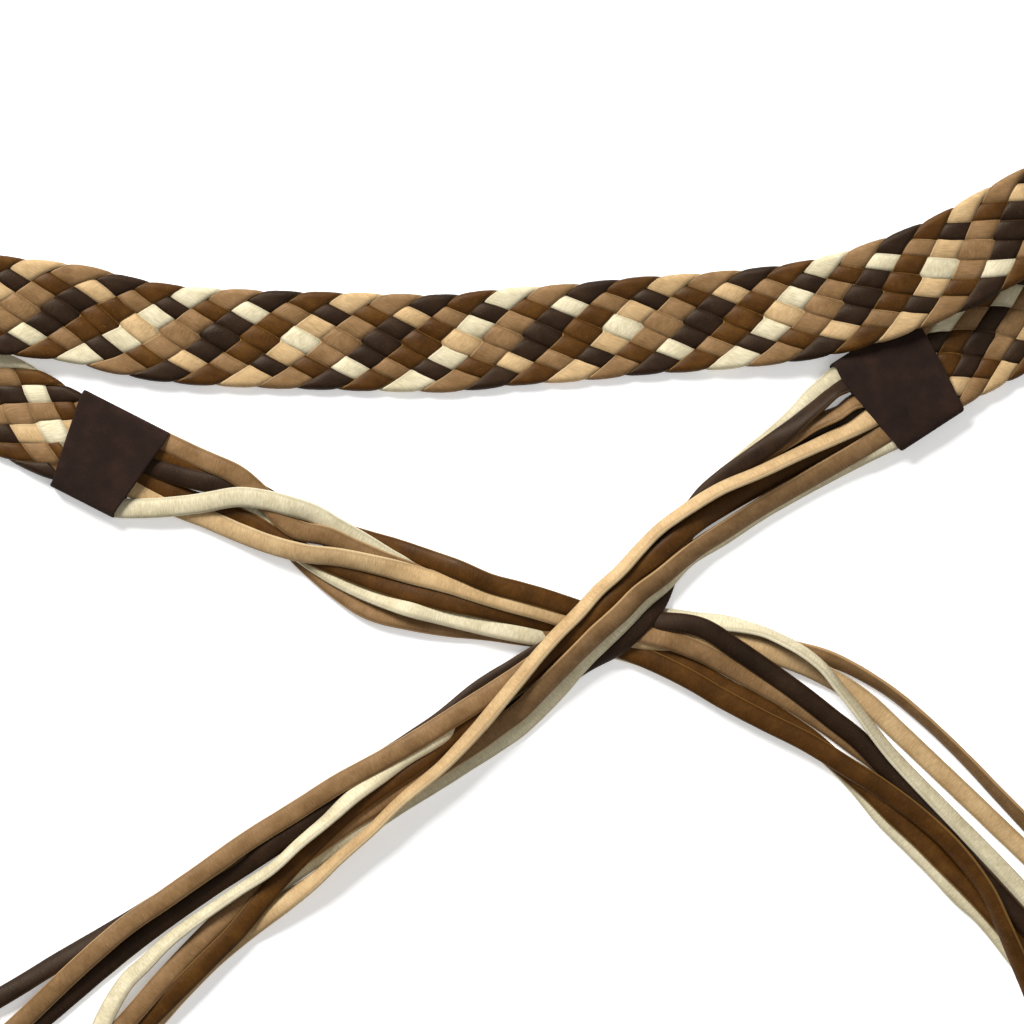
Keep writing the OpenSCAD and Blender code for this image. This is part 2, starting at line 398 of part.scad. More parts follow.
lace(RIGHT_ROUTES, RIGHT_TONES, 7);  // right_lace_7
lace(RIGHT_ROUTES, RIGHT_TONES, 8);  // right_lace_8
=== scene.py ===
# Flat rein plaited from eight leather laces, lying on a pale table with a fold at each end.
# Two suede wraps bind the plait's ends, and the loose laces that leave them cross in an X.
import math

import bpy
import numpy as np
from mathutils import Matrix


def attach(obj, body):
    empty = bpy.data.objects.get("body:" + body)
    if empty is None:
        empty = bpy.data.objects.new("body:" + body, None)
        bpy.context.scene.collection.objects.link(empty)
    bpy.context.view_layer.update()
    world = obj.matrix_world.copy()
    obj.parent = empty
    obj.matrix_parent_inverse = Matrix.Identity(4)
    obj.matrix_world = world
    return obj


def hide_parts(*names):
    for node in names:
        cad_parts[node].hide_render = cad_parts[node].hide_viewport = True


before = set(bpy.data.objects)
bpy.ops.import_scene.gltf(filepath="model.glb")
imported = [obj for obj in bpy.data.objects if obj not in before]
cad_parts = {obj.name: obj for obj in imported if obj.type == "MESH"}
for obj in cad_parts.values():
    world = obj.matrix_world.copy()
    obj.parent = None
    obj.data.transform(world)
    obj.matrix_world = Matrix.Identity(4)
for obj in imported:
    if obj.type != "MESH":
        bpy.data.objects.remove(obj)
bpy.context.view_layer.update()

MM = 0.001

# ---- Sizes, in millimetres ----

LACE_W = 4.8            # width of one loose lace
LACE_T = 1.3            # thickness of one lace
STRAP_W = 22.2          # width of the plait between its edge folds' middles
FOLD_PITCH = 9.67       # along the strap from one edge fold to the next
SKEW = 0.39             # how far the top edge's folds lag, as a share of the width
PLAIT_START = -5.4      # where the first lace's first fold lies
WRAP_L = 17.8           # length of a wrap along the strap
WRAP_W = 24.4           # width of a wrap
WRAP_T = 5.6            # thickness of a wrap
SUEDE_T = 0.8           # thickness of the suede
RIPPLE = 0.28           # height of the waves along a wrap's cut edges
BINDING_L = 8.0         # length of the thread binding under a wrap
THREAD_T = 0.4          # thickness of its thread
LAYOUT_SHIFT = np.array([3.75, -53.41, 0.0])

LEFT_WRAP = np.array([-97.0, 13.0, WRAP_T / 2])
LEFT_TURN = 153.0
RIGHT_WRAP = np.array([94.0, 29.5, WRAP_T / 2])
RIGHT_TURN = 213.0

# Middle line of the strap: x, y, z and the direction of the strap's width, in degrees
STRAP_ROUTE = [
    [-97, 13, 2.8, 63], [-105, 17, 2.7, 63], [-114, 21.5, 2, 63], [-123, 26, 1.6, 63],
    [-137, 33, 1.5, 63], [-150, 39.5, 1.5, 64], [-163, 46, 1.5, 66], [-176, 52.5, 1.5, 68],
    [-188, 58.5, 1.5, 69], [-197, 63, 2.3, 70], [-203, 65.5, 5, 70.5], [-205, 66.5, 9, 70.5],
    [-203, 66, 13, 70.5], [-197, 65, 15.6, 71], [-188, 63, 16, 73], [-176, 60.5, 14.5, 76],
    [-163, 58, 12, 78], [-150, 55, 9.5, 78], [-137, 52, 7.2, 79], [-123, 49.5, 5.5, 79],
    [-105, 47.5, 4, 82], [-92.5, 44.5, 3, 84], [-80, 42.5, 2.3, 86], [-62, 41.5, 1.7, 88],
    [-45, 41, 1.5, 90], [-26, 40.5, 1.5, 90], [-14, 40.5, 1.5, 91], [0, 42, 1.5, 93],
    [15, 43, 1.5, 94], [30, 44.5, 1.6, 93], [45, 45.5, 2, 94], [57.5, 46.5, 3, 96],
    [69.5, 48, 4.6, 100], [81, 50.5, 6.4, 108], [93, 54.5, 7.6, 114], [105, 59.5, 8.2, 118],
    [116, 65.5, 8.6, 119], [128, 72, 9.3, 119], [141, 79, 10.6, 118], [154, 85, 12.4, 118],
    [167, 90, 14.3, 119], [178, 94, 15.9, 122], [186, 97, 16.3, 124], [193, 99, 13.8, 124.5],
    [195.5, 99.5, 9, 124.5], [193, 98, 4.6, 124.5], [186, 93, 1.9, 125], [177, 86, 1.5, 126],
    [167, 78, 1.5, 126], [155, 69, 1.5, 125], [144, 61, 1.5, 124], [133, 53.5, 1.5, 123],
    [123, 47, 1.7, 123], [112, 40.5, 2.2, 123], [103, 35, 2.7, 123], [94, 29.5, 2.8, 123]
]

# Loose laces from the middle of each wrap to their cut ends: x, y, z, and the roll in degrees
# where the lace doesn't lie flat
LEFT_ROUTES = [
    # left lace 1
    [[-86, 18, 3.6], [-83.5, 17, 3.6], [-75, 13, 3.6, 10], [-66, 9, 3.6, 20], [-60, 4, 2.8, 10],
     [-55, -1.5, 2.8], [-50.5, -4.5, 3.6], [-44, -6, 4, 10], [-37.5, -9, 4.2, 10],
     [-30.5, -12, 3.8, 10], [-24, -14.5, 3.4], [-16, -18, 2.8], [-6.5, -20.5, 2.2], [3, -23, 2.2],
     [12.5, -25, 2.2], [26, -27.5, 1.8], [40.5, -29.5, 1.4], [54.5, -30.5, 1.6, 20],
     [66.5, -33, 2.4, 50], [77.5, -36, 2.6, 65], [88.5, -42, 2.6, 70], [98, -49.5, 2.6, 70],
     [107.5, -58.5, 2.6, 70], [117, -68.5, 2.6, 65], [131.5, -83.5, 2.4, 45], [146, -98, 1.8, 25],
     [162.5, -113.5, 1.2, 10]],
    # left lace 2
    [[-87, 17, 1.8], [-84, 15.5, 1.8], [-75, 10.5, 1.4], [-65.5, 5.5, 0.8], [-58, -2, 0.8],
     [-51, -10.5, 1], [-42.5, -18, 1.8, -20], [-34, -23.5, 2.2, -30], [-24.5, -26, 2.2, -30],
     [-15, -27.5, 2.2, -20], [-5.5, -28.5, 2], [4.5, -30, 1.4], [15, -30, 2.2], [26, -28.5, 3],
     [35.5, -30, 3.4, 10], [45, -33.5, 3.4, 15], [54.5, -38.5, 3.4, 15], [64.5, -44, 3.4, 15],
     [74, -50, 3.2, 15], [81.5, -55.5, 2.8, 10], [89.5, -61.5, 2.6, 10], [98, -70.5, 2.2],
     [107.5, -81, 2.2], [117, -90.5, 2], [131.5, -105, 1.8], [153, -125.5, 1.4]],
    # left lace 3
    [[-87.5, 15.5, 2.8], [-85, 13.5, 2.6], [-78, 10, 2.2], [-69.5, 5.5, 1.6], [-60.5, -2, 0.8],
     [-51.5, -9, 1.6, -10], [-43.5, -14.5, 3, -30], [-36, -18.5, 3.6, -40], [-27, -22, 3.6, -45],
     [-17.5, -24.5, 3.6, -40], [-7, -27, 3.6, -20], [2.5, -29, 2.8], [10.5, -30.5, 1.8],
     [18.5, -31.5, 1.2], [30.5, -34.5, 0.8], [45, -40.5, 0.8], [59.5, -48, 0.8], [73, -56, 0.8],
     [82, -64.5, 0.8], [89, -73, 1], [95.5, -79.5, 1], [101.5, -85.5, 1], [107.5, -92, 1],
     [114, -98, 1], [126.5, -113.5, 1], [143.5, -131, 1]],
    # left lace 4
    [[-89, 12.5, 3.2], [-86.5, 11, 3.2], [-75, 7.5, 3.4], [-63, 5.5, 3.2, 10], [-53.5, 0, 1.8],
     [-42.5, -7, 1.2], [-30.5, -14.5, 0.8], [-17.5, -20.5, 1.2], [-3, -24, 1.4], [11.5, -26, 1.4],
     [24.5, -25.5, 2.2], [35, -26, 3.6], [45, -27.5, 4.2], [54, -33, 4.2], [62, -38.5, 4.2],
     [69, -43.5, 4.2, 10], [76, -49, 3.8, 15], [83.5, -55, 3.6, 10], [91, -63, 3.4],
     [99.5, -71.5, 3.2], [108.5, -83, 2.8], [118.5, -94, 2.6], [131.5, -108, 2.2],
     [149.5, -128, 1.8]],
    # left lace 5
    [[-90.5, 10.5, 2.4], [-88.5, 8.5, 2.4], [-81, 4.5, 2.2], [-72, 1, 2.2], [-63, -2.5, 2],
     [-53.5, -8, 2], [-43, -12.5, 2.8, -10], [-31.5, -17, 3.4, -20], [-19.5, -20.5, 3.6, -20],
     [-7.5, -23, 3.6, -20], [3, -25.5, 3.2, -10], [12.5, -28, 2.6], [22.5, -31.5, 1.6],
     [32, -35, 1.8], [41.5, -39.5, 2.2], [51, -45, 2.6], [60.5, -50, 2.8], [70.5, -55, 3],
     [81, -61.5, 3.6, 10], [89.5, -67, 4.6, 20], [98, -73.5, 5, 30], [105.5, -80.5, 5.2, 40],
     [112.5, -89.5, 4.8, 50], [117, -98.5, 4, 50], [121.5, -108.5, 2.8, 40], [128, -123, 1.6, 20],
     [135, -137.5, 1.2]],
    # left lace 6
    [[-87.5, 16.5, 3.6], [-85, 14.5, 3.2], [-75, 11, 2.8], [-65.5, 7, 2.6], [-58, 2, 2],
     [-51, -1.5, 1.6], [-42.5, -4.5, 1.6], [-34, -7, 1.8], [-27, -9, 2.2],
     [-19.5, -11.5, 3.2, 10], [-12.5, -14, 4.2, 20], [-5.5, -17, 5, 20], [2, -19, 5, 10],
     [10.5, -21.5, 4.2], [21, -25.5, 2.2], [30.5, -30.5, 1.6], [40.5, -36, 1.6], [51, -42, 1.6],
     [62, -48, 1.6], [71, -54, 1.6], [78.5, -60.5, 1.6], [85.5, -66.5, 1.8], [91.5, -72.5, 2.2],
     [97.5, -78, 2.2], [103.5, -84, 2.2], [109.5, -90, 2.2], [115.5, -96.5, 2.2],
     [128, -111, 1.8], [141, -125.5, 1.4]],
    # left lace 7
    [[-93, 7.5, 2.6], [-90.5, 5.5, 2.4], [-82.5, 2, 2], [-73.5, -1.5, 2], [-65.5, -5, 2.8, 10],
     [-57.5, -8, 3.6, 20], [-49.5, -10, 4.6, 30], [-41, -11, 5, 35], [-31.5, -13, 5, 35],
     [-23.5, -15, 5, 30], [-15.5, -17, 4.6, 20], [-7.5, -19.5, 4.4, 10], [-0.5, -21.5, 4.2],
     [8.5, -24, 3.6], [20, -28, 2.6], [32, -30.5, 1.8], [45, -31, 1.8], [57, -32.5, 2.2],
     [68, -36, 2.6], [77.5, -40.5, 2.8], [85.5, -46, 2.2], [93, -53, 1.4], [102.5, -62, 1],
     [112.5, -71.5, 1], [124.5, -83, 1], [138.5, -96.5, 1], [155.5, -111, 1]],
    # left lace 8
    [[-97, 3, 2.6], [-94.5, 1, 2.8], [-85, 1, 3.6], [-75, 2, 4.8], [-66, 3.5, 5.6],
     [-59.5, 3, 5.6, 10], [-53.5, 1.5, 5, 20], [-47.5, -0.5, 4.4, 30], [-41.5, -4, 3.6, 30],
     [-35.5, -7.5, 3.2, 20], [-29, -11.5, 2.8, 10], [-21, -15.5, 2.2], [-12.5, -18.5, 1.8],
     [-1.5, -21, 1.8], [10.5, -24, 1.8], [22.5, -25.5, 2], [30.5, -25.5, 2.2],
     [37.5, -25.5, 2.4, -15], [44.5, -26, 3.4, -45], [52, -26.5, 4.6, -68], [59, -28, 5.2, -74],
     [64, -30, 5.2, -74], [69.5, -33, 5.2, -74], [74.5, -37, 5.2, -74], [78.5, -42, 5.2, -72],
     [83, -47.5, 5, -68], [87.5, -53.5, 5, -62], [93, -60, 4.6, -55], [104.5, -72, 4.4, -45],
     [117, -85, 4.2, -35], [131.5, -100.5, 3.4, -15], [150.5, -118.5, 2.6]]
]
RIGHT_ROUTES = [
    # right lace 1
    [[85.5, 36.5, 2.6], [82.5, 35, 2.6], [79, 33.5, 2.4], [75.5, 30.5, 2.2], [72, 27.5, 2.2],
     [69, 24, 2], [66, 21, 1.8], [62, 17.5, 1.4], [56.5, 13, 1.4], [49, 6, 1.2], [41, -1.5, 2],
     [33, -9.5, 3.4], [26, -17.5, 4.8], [19, -26, 6.2], [13, -32, 7], [6.5, -37.5, 7],
     [-1, -43, 6.4], [-10, -48.5, 5.2], [-18.5, -54, 5], [-26, -58.5, 4.8, 15],
     [-32, -63, 4.6, 35], [-38.5, -68, 4.6, 55], [-44.5, -73.5, 4.6, 68], [-51, -79, 4.6, 76],
     [-57.5, -85, 4.6, 75], [-65, -90, 4.6, 74], [-73, -95.5, 4.6, 70], [-78, -99, 4.4, 66],
     [-83, -103, 4.2, 60], [-88, -108, 4, 50], [-93, -113, 3.6, 40], [-98, -122, 3.2, 20],
     [-102.5, -135, 2.2], [-108.5, -147, 1.6]],
    # right lace 2
    [[87, 34.5, 3], [84, 33, 3.2, 10], [80.5, 31, 3.6, 35], [77, 29, 4, 55], [73.5, 26, 4.2, 60],
     [70, 23, 4.6, 50], [66, 19.5, 4.8, 30], [61.5, 16, 4.8, 10], [56, 12, 4.6], [50.5, 8, 4.6],
     [46, 4, 4.6], [42, -1, 4.6], [36, -7, 4.8], [29.5, -13.5, 5.4], [22.5, -20.5, 5.8],
     [14, -29, 6], [3, -36, 5], [-7.5, -42.5, 3.8], [-17.5, -50.5, 2.6], [-28, -57.5, 1.4],
     [-40, -65, 1], [-52, -72, 1.2, 10], [-64, -80, 2, 30], [-75, -87, 2.4, 50],
     [-85, -93.5, 2.6, 60], [-96.5, -100.5, 2.6, 60], [-108.5, -107.5, 2.4, 50],
     [-121.5, -115.5, 2, 30], [-137.5, -124.5, 0.8]],
    # right lace 3
    [[89, 30, 3.2], [86, 28, 3.4, 20], [81.5, 26.5, 3.8, 45], [78, 24, 4, 55],
     [74.5, 22.5, 4, 50], [71, 21, 3.8, 40], [67, 18.5, 3.6, 20], [63, 16, 3.4], [56.5, 12, 2.6],
     [49, 6, 1.8], [41, -2.5, 2.6], [32.5, -10.5, 4], [24, -19, 5.4], [15, -28.5, 6.2],
     [6, -36, 6.4], [-3, -42, 7], [-12.5, -48, 6.4], [-22, -54, 6], [-31.5, -59.5, 5.6],
     [-41.5, -65, 5.2], [-52.5, -72, 4.6], [-63, -78.5, 4], [-73, -85.5, 3.8], [-83, -92.5, 3.6],
     [-93, -99.5, 3.6], [-105.5, -110.5, 3.2], [-117, -121.5, 2.6], [-129, -132.5, 1.8]],
    # right lace 4
    [[90, 27, 3], [87, 25.5, 3], [81.5, 24, 3, 10], [76, 21.5, 3, 20], [70, 19, 2.8, 20],
     [64, 15.5, 2.8, 10], [57.5, 12, 2.8], [52, 8.5, 2.8], [47.5, 4.5, 2.8], [44, -0.5, 2.8],
     [40.5, -7, 2.8], [37.5, -15, 3.4], [34.5, -22, 4.2, -20], [30, -27.5, 5.4, -30],
     [24.5, -32.5, 5.8, -30], [18, -36, 5.6, -20], [10.5, -40.5, 5], [1.5, -45, 4.2],
     [-9, -50.5, 3.2], [-19.5, -57.5, 2], [-31.5, -65.5, 1.8], [-42, -71, 2], [-52, -77, 2],
     [-63, -84, 2], [-73, -90.5, 1.8], [-83, -97.5, 1.8], [-93.5, -105.5, 1.8], [-106, -116, 1.6],
     [-117.5, -126, 1.4], [-129.5, -138, 1.2]],
    # right lace 5
    [[91, 22.5, 3.8], [88, 23.5, 4.2], [80, 19.5, 4.8, 45], [69, 14.5, 5.2, 65],
     [59.5, 10, 5.4, 68], [50, 6, 5.6, 68], [42.5, 1.5, 5.8, 68], [35.5, -3.5, 6.4, 65],
     [30.5, -8.5, 7.2, 60], [25.5, -14, 8.2, 58], [20.5, -18.5, 9.2, 58], [16, -23.5, 9.8, 58],
     [11, -28.5, 10.2, 58], [6.5, -33.5, 10.2, 58], [2, -39, 9.6, 58], [-3, -45, 8.4, 58],
     [-7.5, -50.5, 7.6, 58], [-12.5, -56, 7, 62], [-18, -61.5, 6.4, 68], [-27, -69, 5.4, 72],
     [-34, -76, 5, 72], [-41.5, -82.5, 4.6, 70], [-47.5, -88, 3.8, 60], [-54, -93, 2.8, 30],
     [-62.5, -99.5, 1.4], [-71.5, -107, 1.2], [-79.5, -115, 1.2], [-88, -124.5, 1.2],
     [-100, -137.5, 1.2]],
    # right lace 6
    [[92, 21, 3.2], [89.5, 21, 3.2], [81, 16.5, 3.8], [69, 11.5, 4.2], [59.5, 6.5, 4.2],
     [50.5, 1.5, 4.4], [43.5, -3, 4.6], [36, -9.5, 5.4], [30.5, -14, 6], [25.5, -19.5, 7],
     [20.5, -24, 7.6], [15.5, -28.5, 7.8], [9.5, -33.5, 7.6], [3, -39.5, 6.8], [-4.5, -45.5, 6],
     [-13, -52.5, 5], [-22.5, -60, 4.6], [-31.5, -66, 4.2], [-39.5, -72, 4], [-46.5, -78.5, 3.8],
     [-53.5, -85.5, 3.6], [-59.5, -92.5, 3.6], [-66, -100.5, 3.4], [-73.5, -108, 2.8],
     [-81.5, -116, 2.2], [-90, -124.5, 1.8], [-102.5, -137.5, 1.4], [-113.5, -148.5, 1.4]],
    # right lace 7
    [[93.5, 19.5, 3.6], [91, 19.5, 3.8], [81, 13.5, 4.8, -20], [69, 6.5, 5, -30],
     [59.5, 1, 5.2, -30], [51, -4.5, 5.4, -30], [44, -9, 5.6, -30], [36, -15.5, 6.8, -30],
     [30.5, -19.5, 7.6, -30], [26, -24, 8.2, -30], [21, -28.5, 8.6, -30], [16.5, -33, 8.6, -30],
     [11.5, -38, 8.4, -30], [7, -42.5, 7.8, -30], [2, -47.5, 7, -20], [-3.5, -51.5, 5.6, -10],
     [-9, -55.5, 4.6], [-16, -60, 3.6], [-24.5, -65.5, 2.6], [-36.5, -72.5, 2.2],
     [-48.5, -81, 2.2], [-59.5, -89, 2.8], [-69, -97, 3], [-77.5, -105.5, 3.2], [-85, -113.5, 3],
     [-92, -121.5, 2.6], [-102.5, -132.5, 2], [-115.5, -146, 1.4]],
    # right lace 8
    [[95, 18, 3.2], [92, 17.5, 3.2], [81, 12, 3.6, -20], [69, 5.5, 3.8, -35], [59.5, 0, 4.2, -40],
     [50.5, -6, 4.2, -45], [42.5, -11, 4.8, -50], [36.5, -17, 5.6, -50], [31, -21.5, 6.4, -50],
     [26.5, -26, 7, -50], [21.5, -31, 7.2, -50], [16.5, -36.5, 7, -50], [11.5, -42.5, 6.4, -45],
     [6.5, -47.5, 5.6, -40], [1.5, -52, 4.8, -40], [-4.5, -56, 4, -35], [-11, -60, 3.2, -25],
     [-18, -64.5, 2.8, -10], [-27, -70, 2.2], [-39, -78, 1.8], [-51, -85.5, 1.8], [-63, -95, 1.6],
     [-75, -106, 1.6], [-87, -118, 1.4], [-99, -130.5, 1.4], [-108.5, -141, 1.2]]
]

STRAND_TONES = ["cream", "camel", "espresso", "brown", "tan", "camel", "espresso", "brown"]
LEFT_TONES = ["camel", "camel", "cream", "espresso", "brown", "brown", "tan", "cream"]
RIGHT_TONES = ["cream", "espresso", "camel", "espresso", "tan", "brown", "camel", "cream"]


# ---- Camera ----

CAMERA_HEIGHT = 0.9     # metres above the table
VIEW_WIDTH = 0.2458     # metres of table that the camera spans


def add_camera():
    data = bpy.data.cameras.new("camera")
    data.sensor_width = 36
    data.lens = data.sensor_width * CAMERA_HEIGHT / VIEW_WIDTH
    camera = add_object("camera", data)
    camera.location = (LAYOUT_SHIFT[0] * MM, LAYOUT_SHIFT[1] * MM, CAMERA_HEIGHT)
    bpy.context.scene.camera = camera


# ---- Curves ----

def smooth_curve(points, steps):
    """A smooth line through the points, with the same number of steps between each two."""
    points = np.asarray(points, float)
    padded = np.vstack([points[:1], points, points[-1:]])
    share = np.linspace(0, 1, steps, endpoint=False)[:, None]
    parts = []
    for a, b, c, d in zip(padded, padded[1:], padded[2:], padded[3:]):
        parts.append(0.5 * (2 * b + (c - a) * share + (2 * a - 5 * b + 4 * c - d) * share ** 2
                            + (3 * b - 3 * c + d - a) * share ** 3))
    return np.vstack(parts + [points[-1:]])


def lengths_along(points):
    return np.concatenate([[0], np.cumsum(np.linalg.norm(np.diff(points, axis=0), axis=1))])


def unit(vectors):
    return vectors / np.linalg.norm(vectors, axis=-1, keepdims=True)


def turned(degrees, place=(0, 0, 0)):
    """A function that turns points about Z and then moves them to place."""
    a = math.radians(degrees)
    matrix = np.array([[math.cos(a), -math.sin(a), 0], [math.sin(a), math.cos(a), 0], [0, 0, 1]])
    return lambda points: np.asarray(points) @ matrix.T + np.asarray(place)


# ---- Materials ----

def linear(code):
    """An sRGB hex colour as linear red, green, blue and alpha."""
    channels = [int(code[i:i + 2], 16) / 255 for i in (1, 3, 5)]
    return tuple(c / 12.92 if c <= 0.04045 else ((c + 0.055) / 1.055) ** 2.4
                 for c in channels) + (1.0,)


def add_node(tree, kind, settings=(), values=(), links=(), stops=()):
    """One node, with its settings, socket values, incoming links and a ramp's stops. A link
    comes from a socket, or from the first output of a node."""
    node = tree.nodes.new(kind)
    for name, value in dict(settings).items():
        setattr(node, name, value)
    for name, value in dict(values).items():
        node.inputs[name].default_value = value
    for name, source in dict(links).items():
        first = source if isinstance(source, bpy.types.NodeSocket) else source.outputs[0]
        tree.links.new(first, node.inputs[name])
    if stops:
        elements = node.color_ramp.elements
        while len(elements) < len(stops):
            elements.new(0.5)
        for element, (place, colour) in zip(elements, stops):
            element.position = place
            element.color = colour
    return node


def new_material(name):
    material = bpy.data.materials.new(name)
    material.use_nodes = True
    material.node_tree.nodes.clear()
    return material, material.node_tree


def grey(value):
    return (value, value, value, 1.0)


PER_METRE = 1000        # a pattern of this scale has features about 1 mm across
MULTIPLY = {"data_type": "RGBA", "blend_type": "MULTIPLY"}


def lace_leather(name, tones, edge, roughness, glint_strength):
    """Drum-dyed calf lacing, cut from a hide and drawn through a beveller: an even satin
    face with soft mottling, fine cross fibres, and paler raw cut edges."""
    material, tree = new_material(name)
    place = add_node(tree, "ShaderNodeTexCoord").outputs["Object"]
    across = add_node(tree, "ShaderNodeAttribute", {"attribute_name": "across"}).outputs["Fac"]
    run = add_node(tree, "ShaderNodeAttribute", {"attribute_name": "run"}).outputs["Fac"]

    # Mottling of the dye, in patches of a few millimetres
    mottle = add_node(tree, "ShaderNodeTexNoise", values={
        "Scale": 0.16 * PER_METRE, "Detail": 4.0, "Roughness": 0.6}, links={"Vector": place})
    face = add_node(tree, "ShaderNodeValToRGB", links={"Fac": mottle.outputs["Fac"]}, stops=[
        (0.3, linear(tones[0])), (0.52, linear(tones[1])), (0.72, linear(tones[2]))])

    # Cross fibres: noise stretched over the lace's width, about 0.25 mm apart
    fibre_place = add_node(tree, "ShaderNodeCombineXYZ", links={"X": run, "Y": across})
    fibre = add_node(tree, "ShaderNodeTexNoise", values={
        "Scale": 1.0, "Detail": 3.0, "Roughness": 0.65},
        links={"Vector": add_node(tree, "ShaderNodeMapping", values={
            "Scale": (3.2, 1.3, 1.0)}, links={"Vector": fibre_place})})
    fibre_tint = add_node(tree, "ShaderNodeValToRGB", links={"Fac": fibre.outputs["Fac"]},
                          stops=[(0.3, grey(0.74)), (0.68, grey(1.1))])
    fibred = add_node(tree, "ShaderNodeMix", MULTIPLY, {"Factor": 1.0}, {
        "A": face, "B": fibre_tint})

    # Pale specks: painted glints, small specular highlights painted into the colour
    specks = add_node(tree, "ShaderNodeTexNoise", values={
        "Scale": 1.7 * PER_METRE, "Detail": 2.0, "Roughness": 0.7}, links={"Vector": place})
    painted_glints = add_node(tree, "ShaderNodeValToRGB", links={"Fac": specks.outputs["Fac"]}, stops=[
        (0.66, grey(0.0)), (0.74, grey(glint_strength))])
    glinted = add_node(tree, "ShaderNodeMix", {"data_type": "RGBA"}, {"B": linear(edge)}, {
        "Factor": painted_glints, "A": fibred.outputs["Result"]})

    # Near its edges, where across nears 1 on either side, the face is darkened as painted shade,
    # for the shadow that falls between the laces; the raw cut edge itself is paler
    side = add_node(tree, "ShaderNodeMath", {"operation": "ABSOLUTE"}, links={0: across})
    rim = add_node(tree, "ShaderNodeValToRGB", links={"Fac": side}, stops=[
        (0.88, grey(0.0)), (0.97, grey(0.5))])
    painted_edge_shade = add_node(tree, "ShaderNodeValToRGB", links={"Fac": side}, stops=[
        (0.6, grey(1.0)), (0.9, grey(0.72))])
    shaded = add_node(tree, "ShaderNodeMix", MULTIPLY, {"Factor": 1.0}, {
        "A": glinted.outputs["Result"], "B": painted_edge_shade})
    coloured = add_node(tree, "ShaderNodeMix", {"data_type": "RGBA"}, {"B": linear(edge)}, {
        "Factor": rim, "A": shaded.outputs["Result"]})

    # Hide grain: small pebbles about 0.35 mm across, over the fibres
    pebbles = add_node(tree, "ShaderNodeTexVoronoi", values={
        "Scale": 2.6 * PER_METRE}, links={"Vector": place})
    pebble_bump = add_node(tree, "ShaderNodeBump", values={
        "Strength": 0.22, "Distance": 0.00008}, links={"Height": pebbles.outputs["Distance"]})
    fibre_bump = add_node(tree, "ShaderNodeBump", values={
        "Strength": 0.5, "Distance": 0.00012},
        links={"Height": fibre.outputs["Fac"], "Normal": pebble_bump})
    gloss = add_node(tree, "ShaderNodeValToRGB", links={"Fac": mottle.outputs["Fac"]}, stops=[
        (0.3, grey(roughness - 0.07)), (0.75, grey(roughness + 0.1))])

    shader = add_node(tree, "ShaderNodeBsdfPrincipled",
                      values={"IOR": 1.46, "Specular IOR Level": 0.2,
                              "Specular Tint": linear("#ffe6cc")},
                      links={"Base Color": coloured.outputs["Result"], "Roughness": gloss,
                             "Normal": fibre_bump})
    add_node(tree, "ShaderNodeOutputMaterial", links={"Surface": shader})
    return material


def brushed_suede():
    """Split-hide suede, brushed: no gloss, a short nap that lies in patches and catches a
    thin bright sheen at grazing light."""
    material, tree = new_material("brushed_suede")
    place = add_node(tree, "ShaderNodeTexCoord").outputs["Object"]
    patches = add_node(tree, "ShaderNodeTexNoise", values={
        "Scale": 0.16 * PER_METRE, "Detail": 4.0, "Roughness": 0.6},
        links={"Vector": place})
    colour = add_node(tree, "ShaderNodeValToRGB", links={"Fac": patches.outputs["Fac"]}, stops=[
        (0.3, linear("#190e09")), (0.5, linear("#21130c")), (0.72, linear("#2c1a12"))])
    nap = add_node(tree, "ShaderNodeTexNoise", values={
        "Scale": 3.5 * PER_METRE, "Detail": 5.0, "Roughness": 0.75}, links={"Vector": place})
    nap_tint = add_node(tree, "ShaderNodeValToRGB", links={"Fac": nap.outputs["Fac"]}, stops=[
        (0.3, grey(0.72)), (0.7, grey(1.25))])
    napped = add_node(tree, "ShaderNodeMix", MULTIPLY, {"Factor": 1.0}, {
        "A": colour, "B": nap_tint})
    creases = add_node(tree, "ShaderNodeBump", values={"Strength": 0.4, "Distance": 0.0004},
                       links={"Height": patches.outputs["Fac"]})
    bump = add_node(tree, "ShaderNodeBump", values={"Strength": 0.8, "Distance": 0.00015},
                    links={"Height": nap.outputs["Fac"], "Normal": creases})
    shader = add_node(tree, "ShaderNodeBsdfPrincipled",
                      values={"Roughness": 0.94, "Specular IOR Level": 0.2,
                              "Sheen Weight": 0.12, "Sheen Roughness": 0.45,
                              "Sheen Tint": linear("#8a6a58")},
                      links={"Base Color": napped.outputs["Result"], "Normal": bump})
    add_node(tree, "ShaderNodeOutputMaterial", links={"Surface": shader})
    return material


def waxed_thread():
    """Waxed linen thread: a low sheen over a twist about 0.3 mm long."""
    material, tree = new_material("waxed_thread")
    place = add_node(tree, "ShaderNodeTexCoord").outputs["Object"]
    twist = add_node(tree, "ShaderNodeTexWave", values={
        "Scale": 1.1 * PER_METRE, "Distortion": 1.5}, links={"Vector": place})
    colour = add_node(tree, "ShaderNodeValToRGB", links={"Fac": twist.outputs["Fac"]}, stops=[
        (0.2, linear("#3a2c22")), (0.8, linear("#5d4a3a"))])
    bump = add_node(tree, "ShaderNodeBump", values={"Strength": 0.5, "Distance": 0.0001},
                    links={"Height": twist.outputs["Fac"]})
    shader = add_node(tree, "ShaderNodeBsdfPrincipled",
                      values={"Roughness": 0.6, "Specular IOR Level": 0.4},
                      links={"Base Color": colour, "Normal": bump})
    add_node(tree, "ShaderNodeOutputMaterial", links={"Surface": shader})
    return material


def pale_table():
    """Opal glass of a light table, lit from under: faint shadows on a white field."""
    material, tree = new_material("pale_table")
    shader = add_node(tree, "ShaderNodeBsdfPrincipled",
                      values={"Base Color": linear("#f4f3f1"), "Roughness": 0.9,
                              "Specular IOR Level": 0.1, "Emission Strength": 0.3,
                              "Emission Color": linear("#ffffff")})
    add_node(tree, "ShaderNodeOutputMaterial", links={"Surface": shader})
    return material


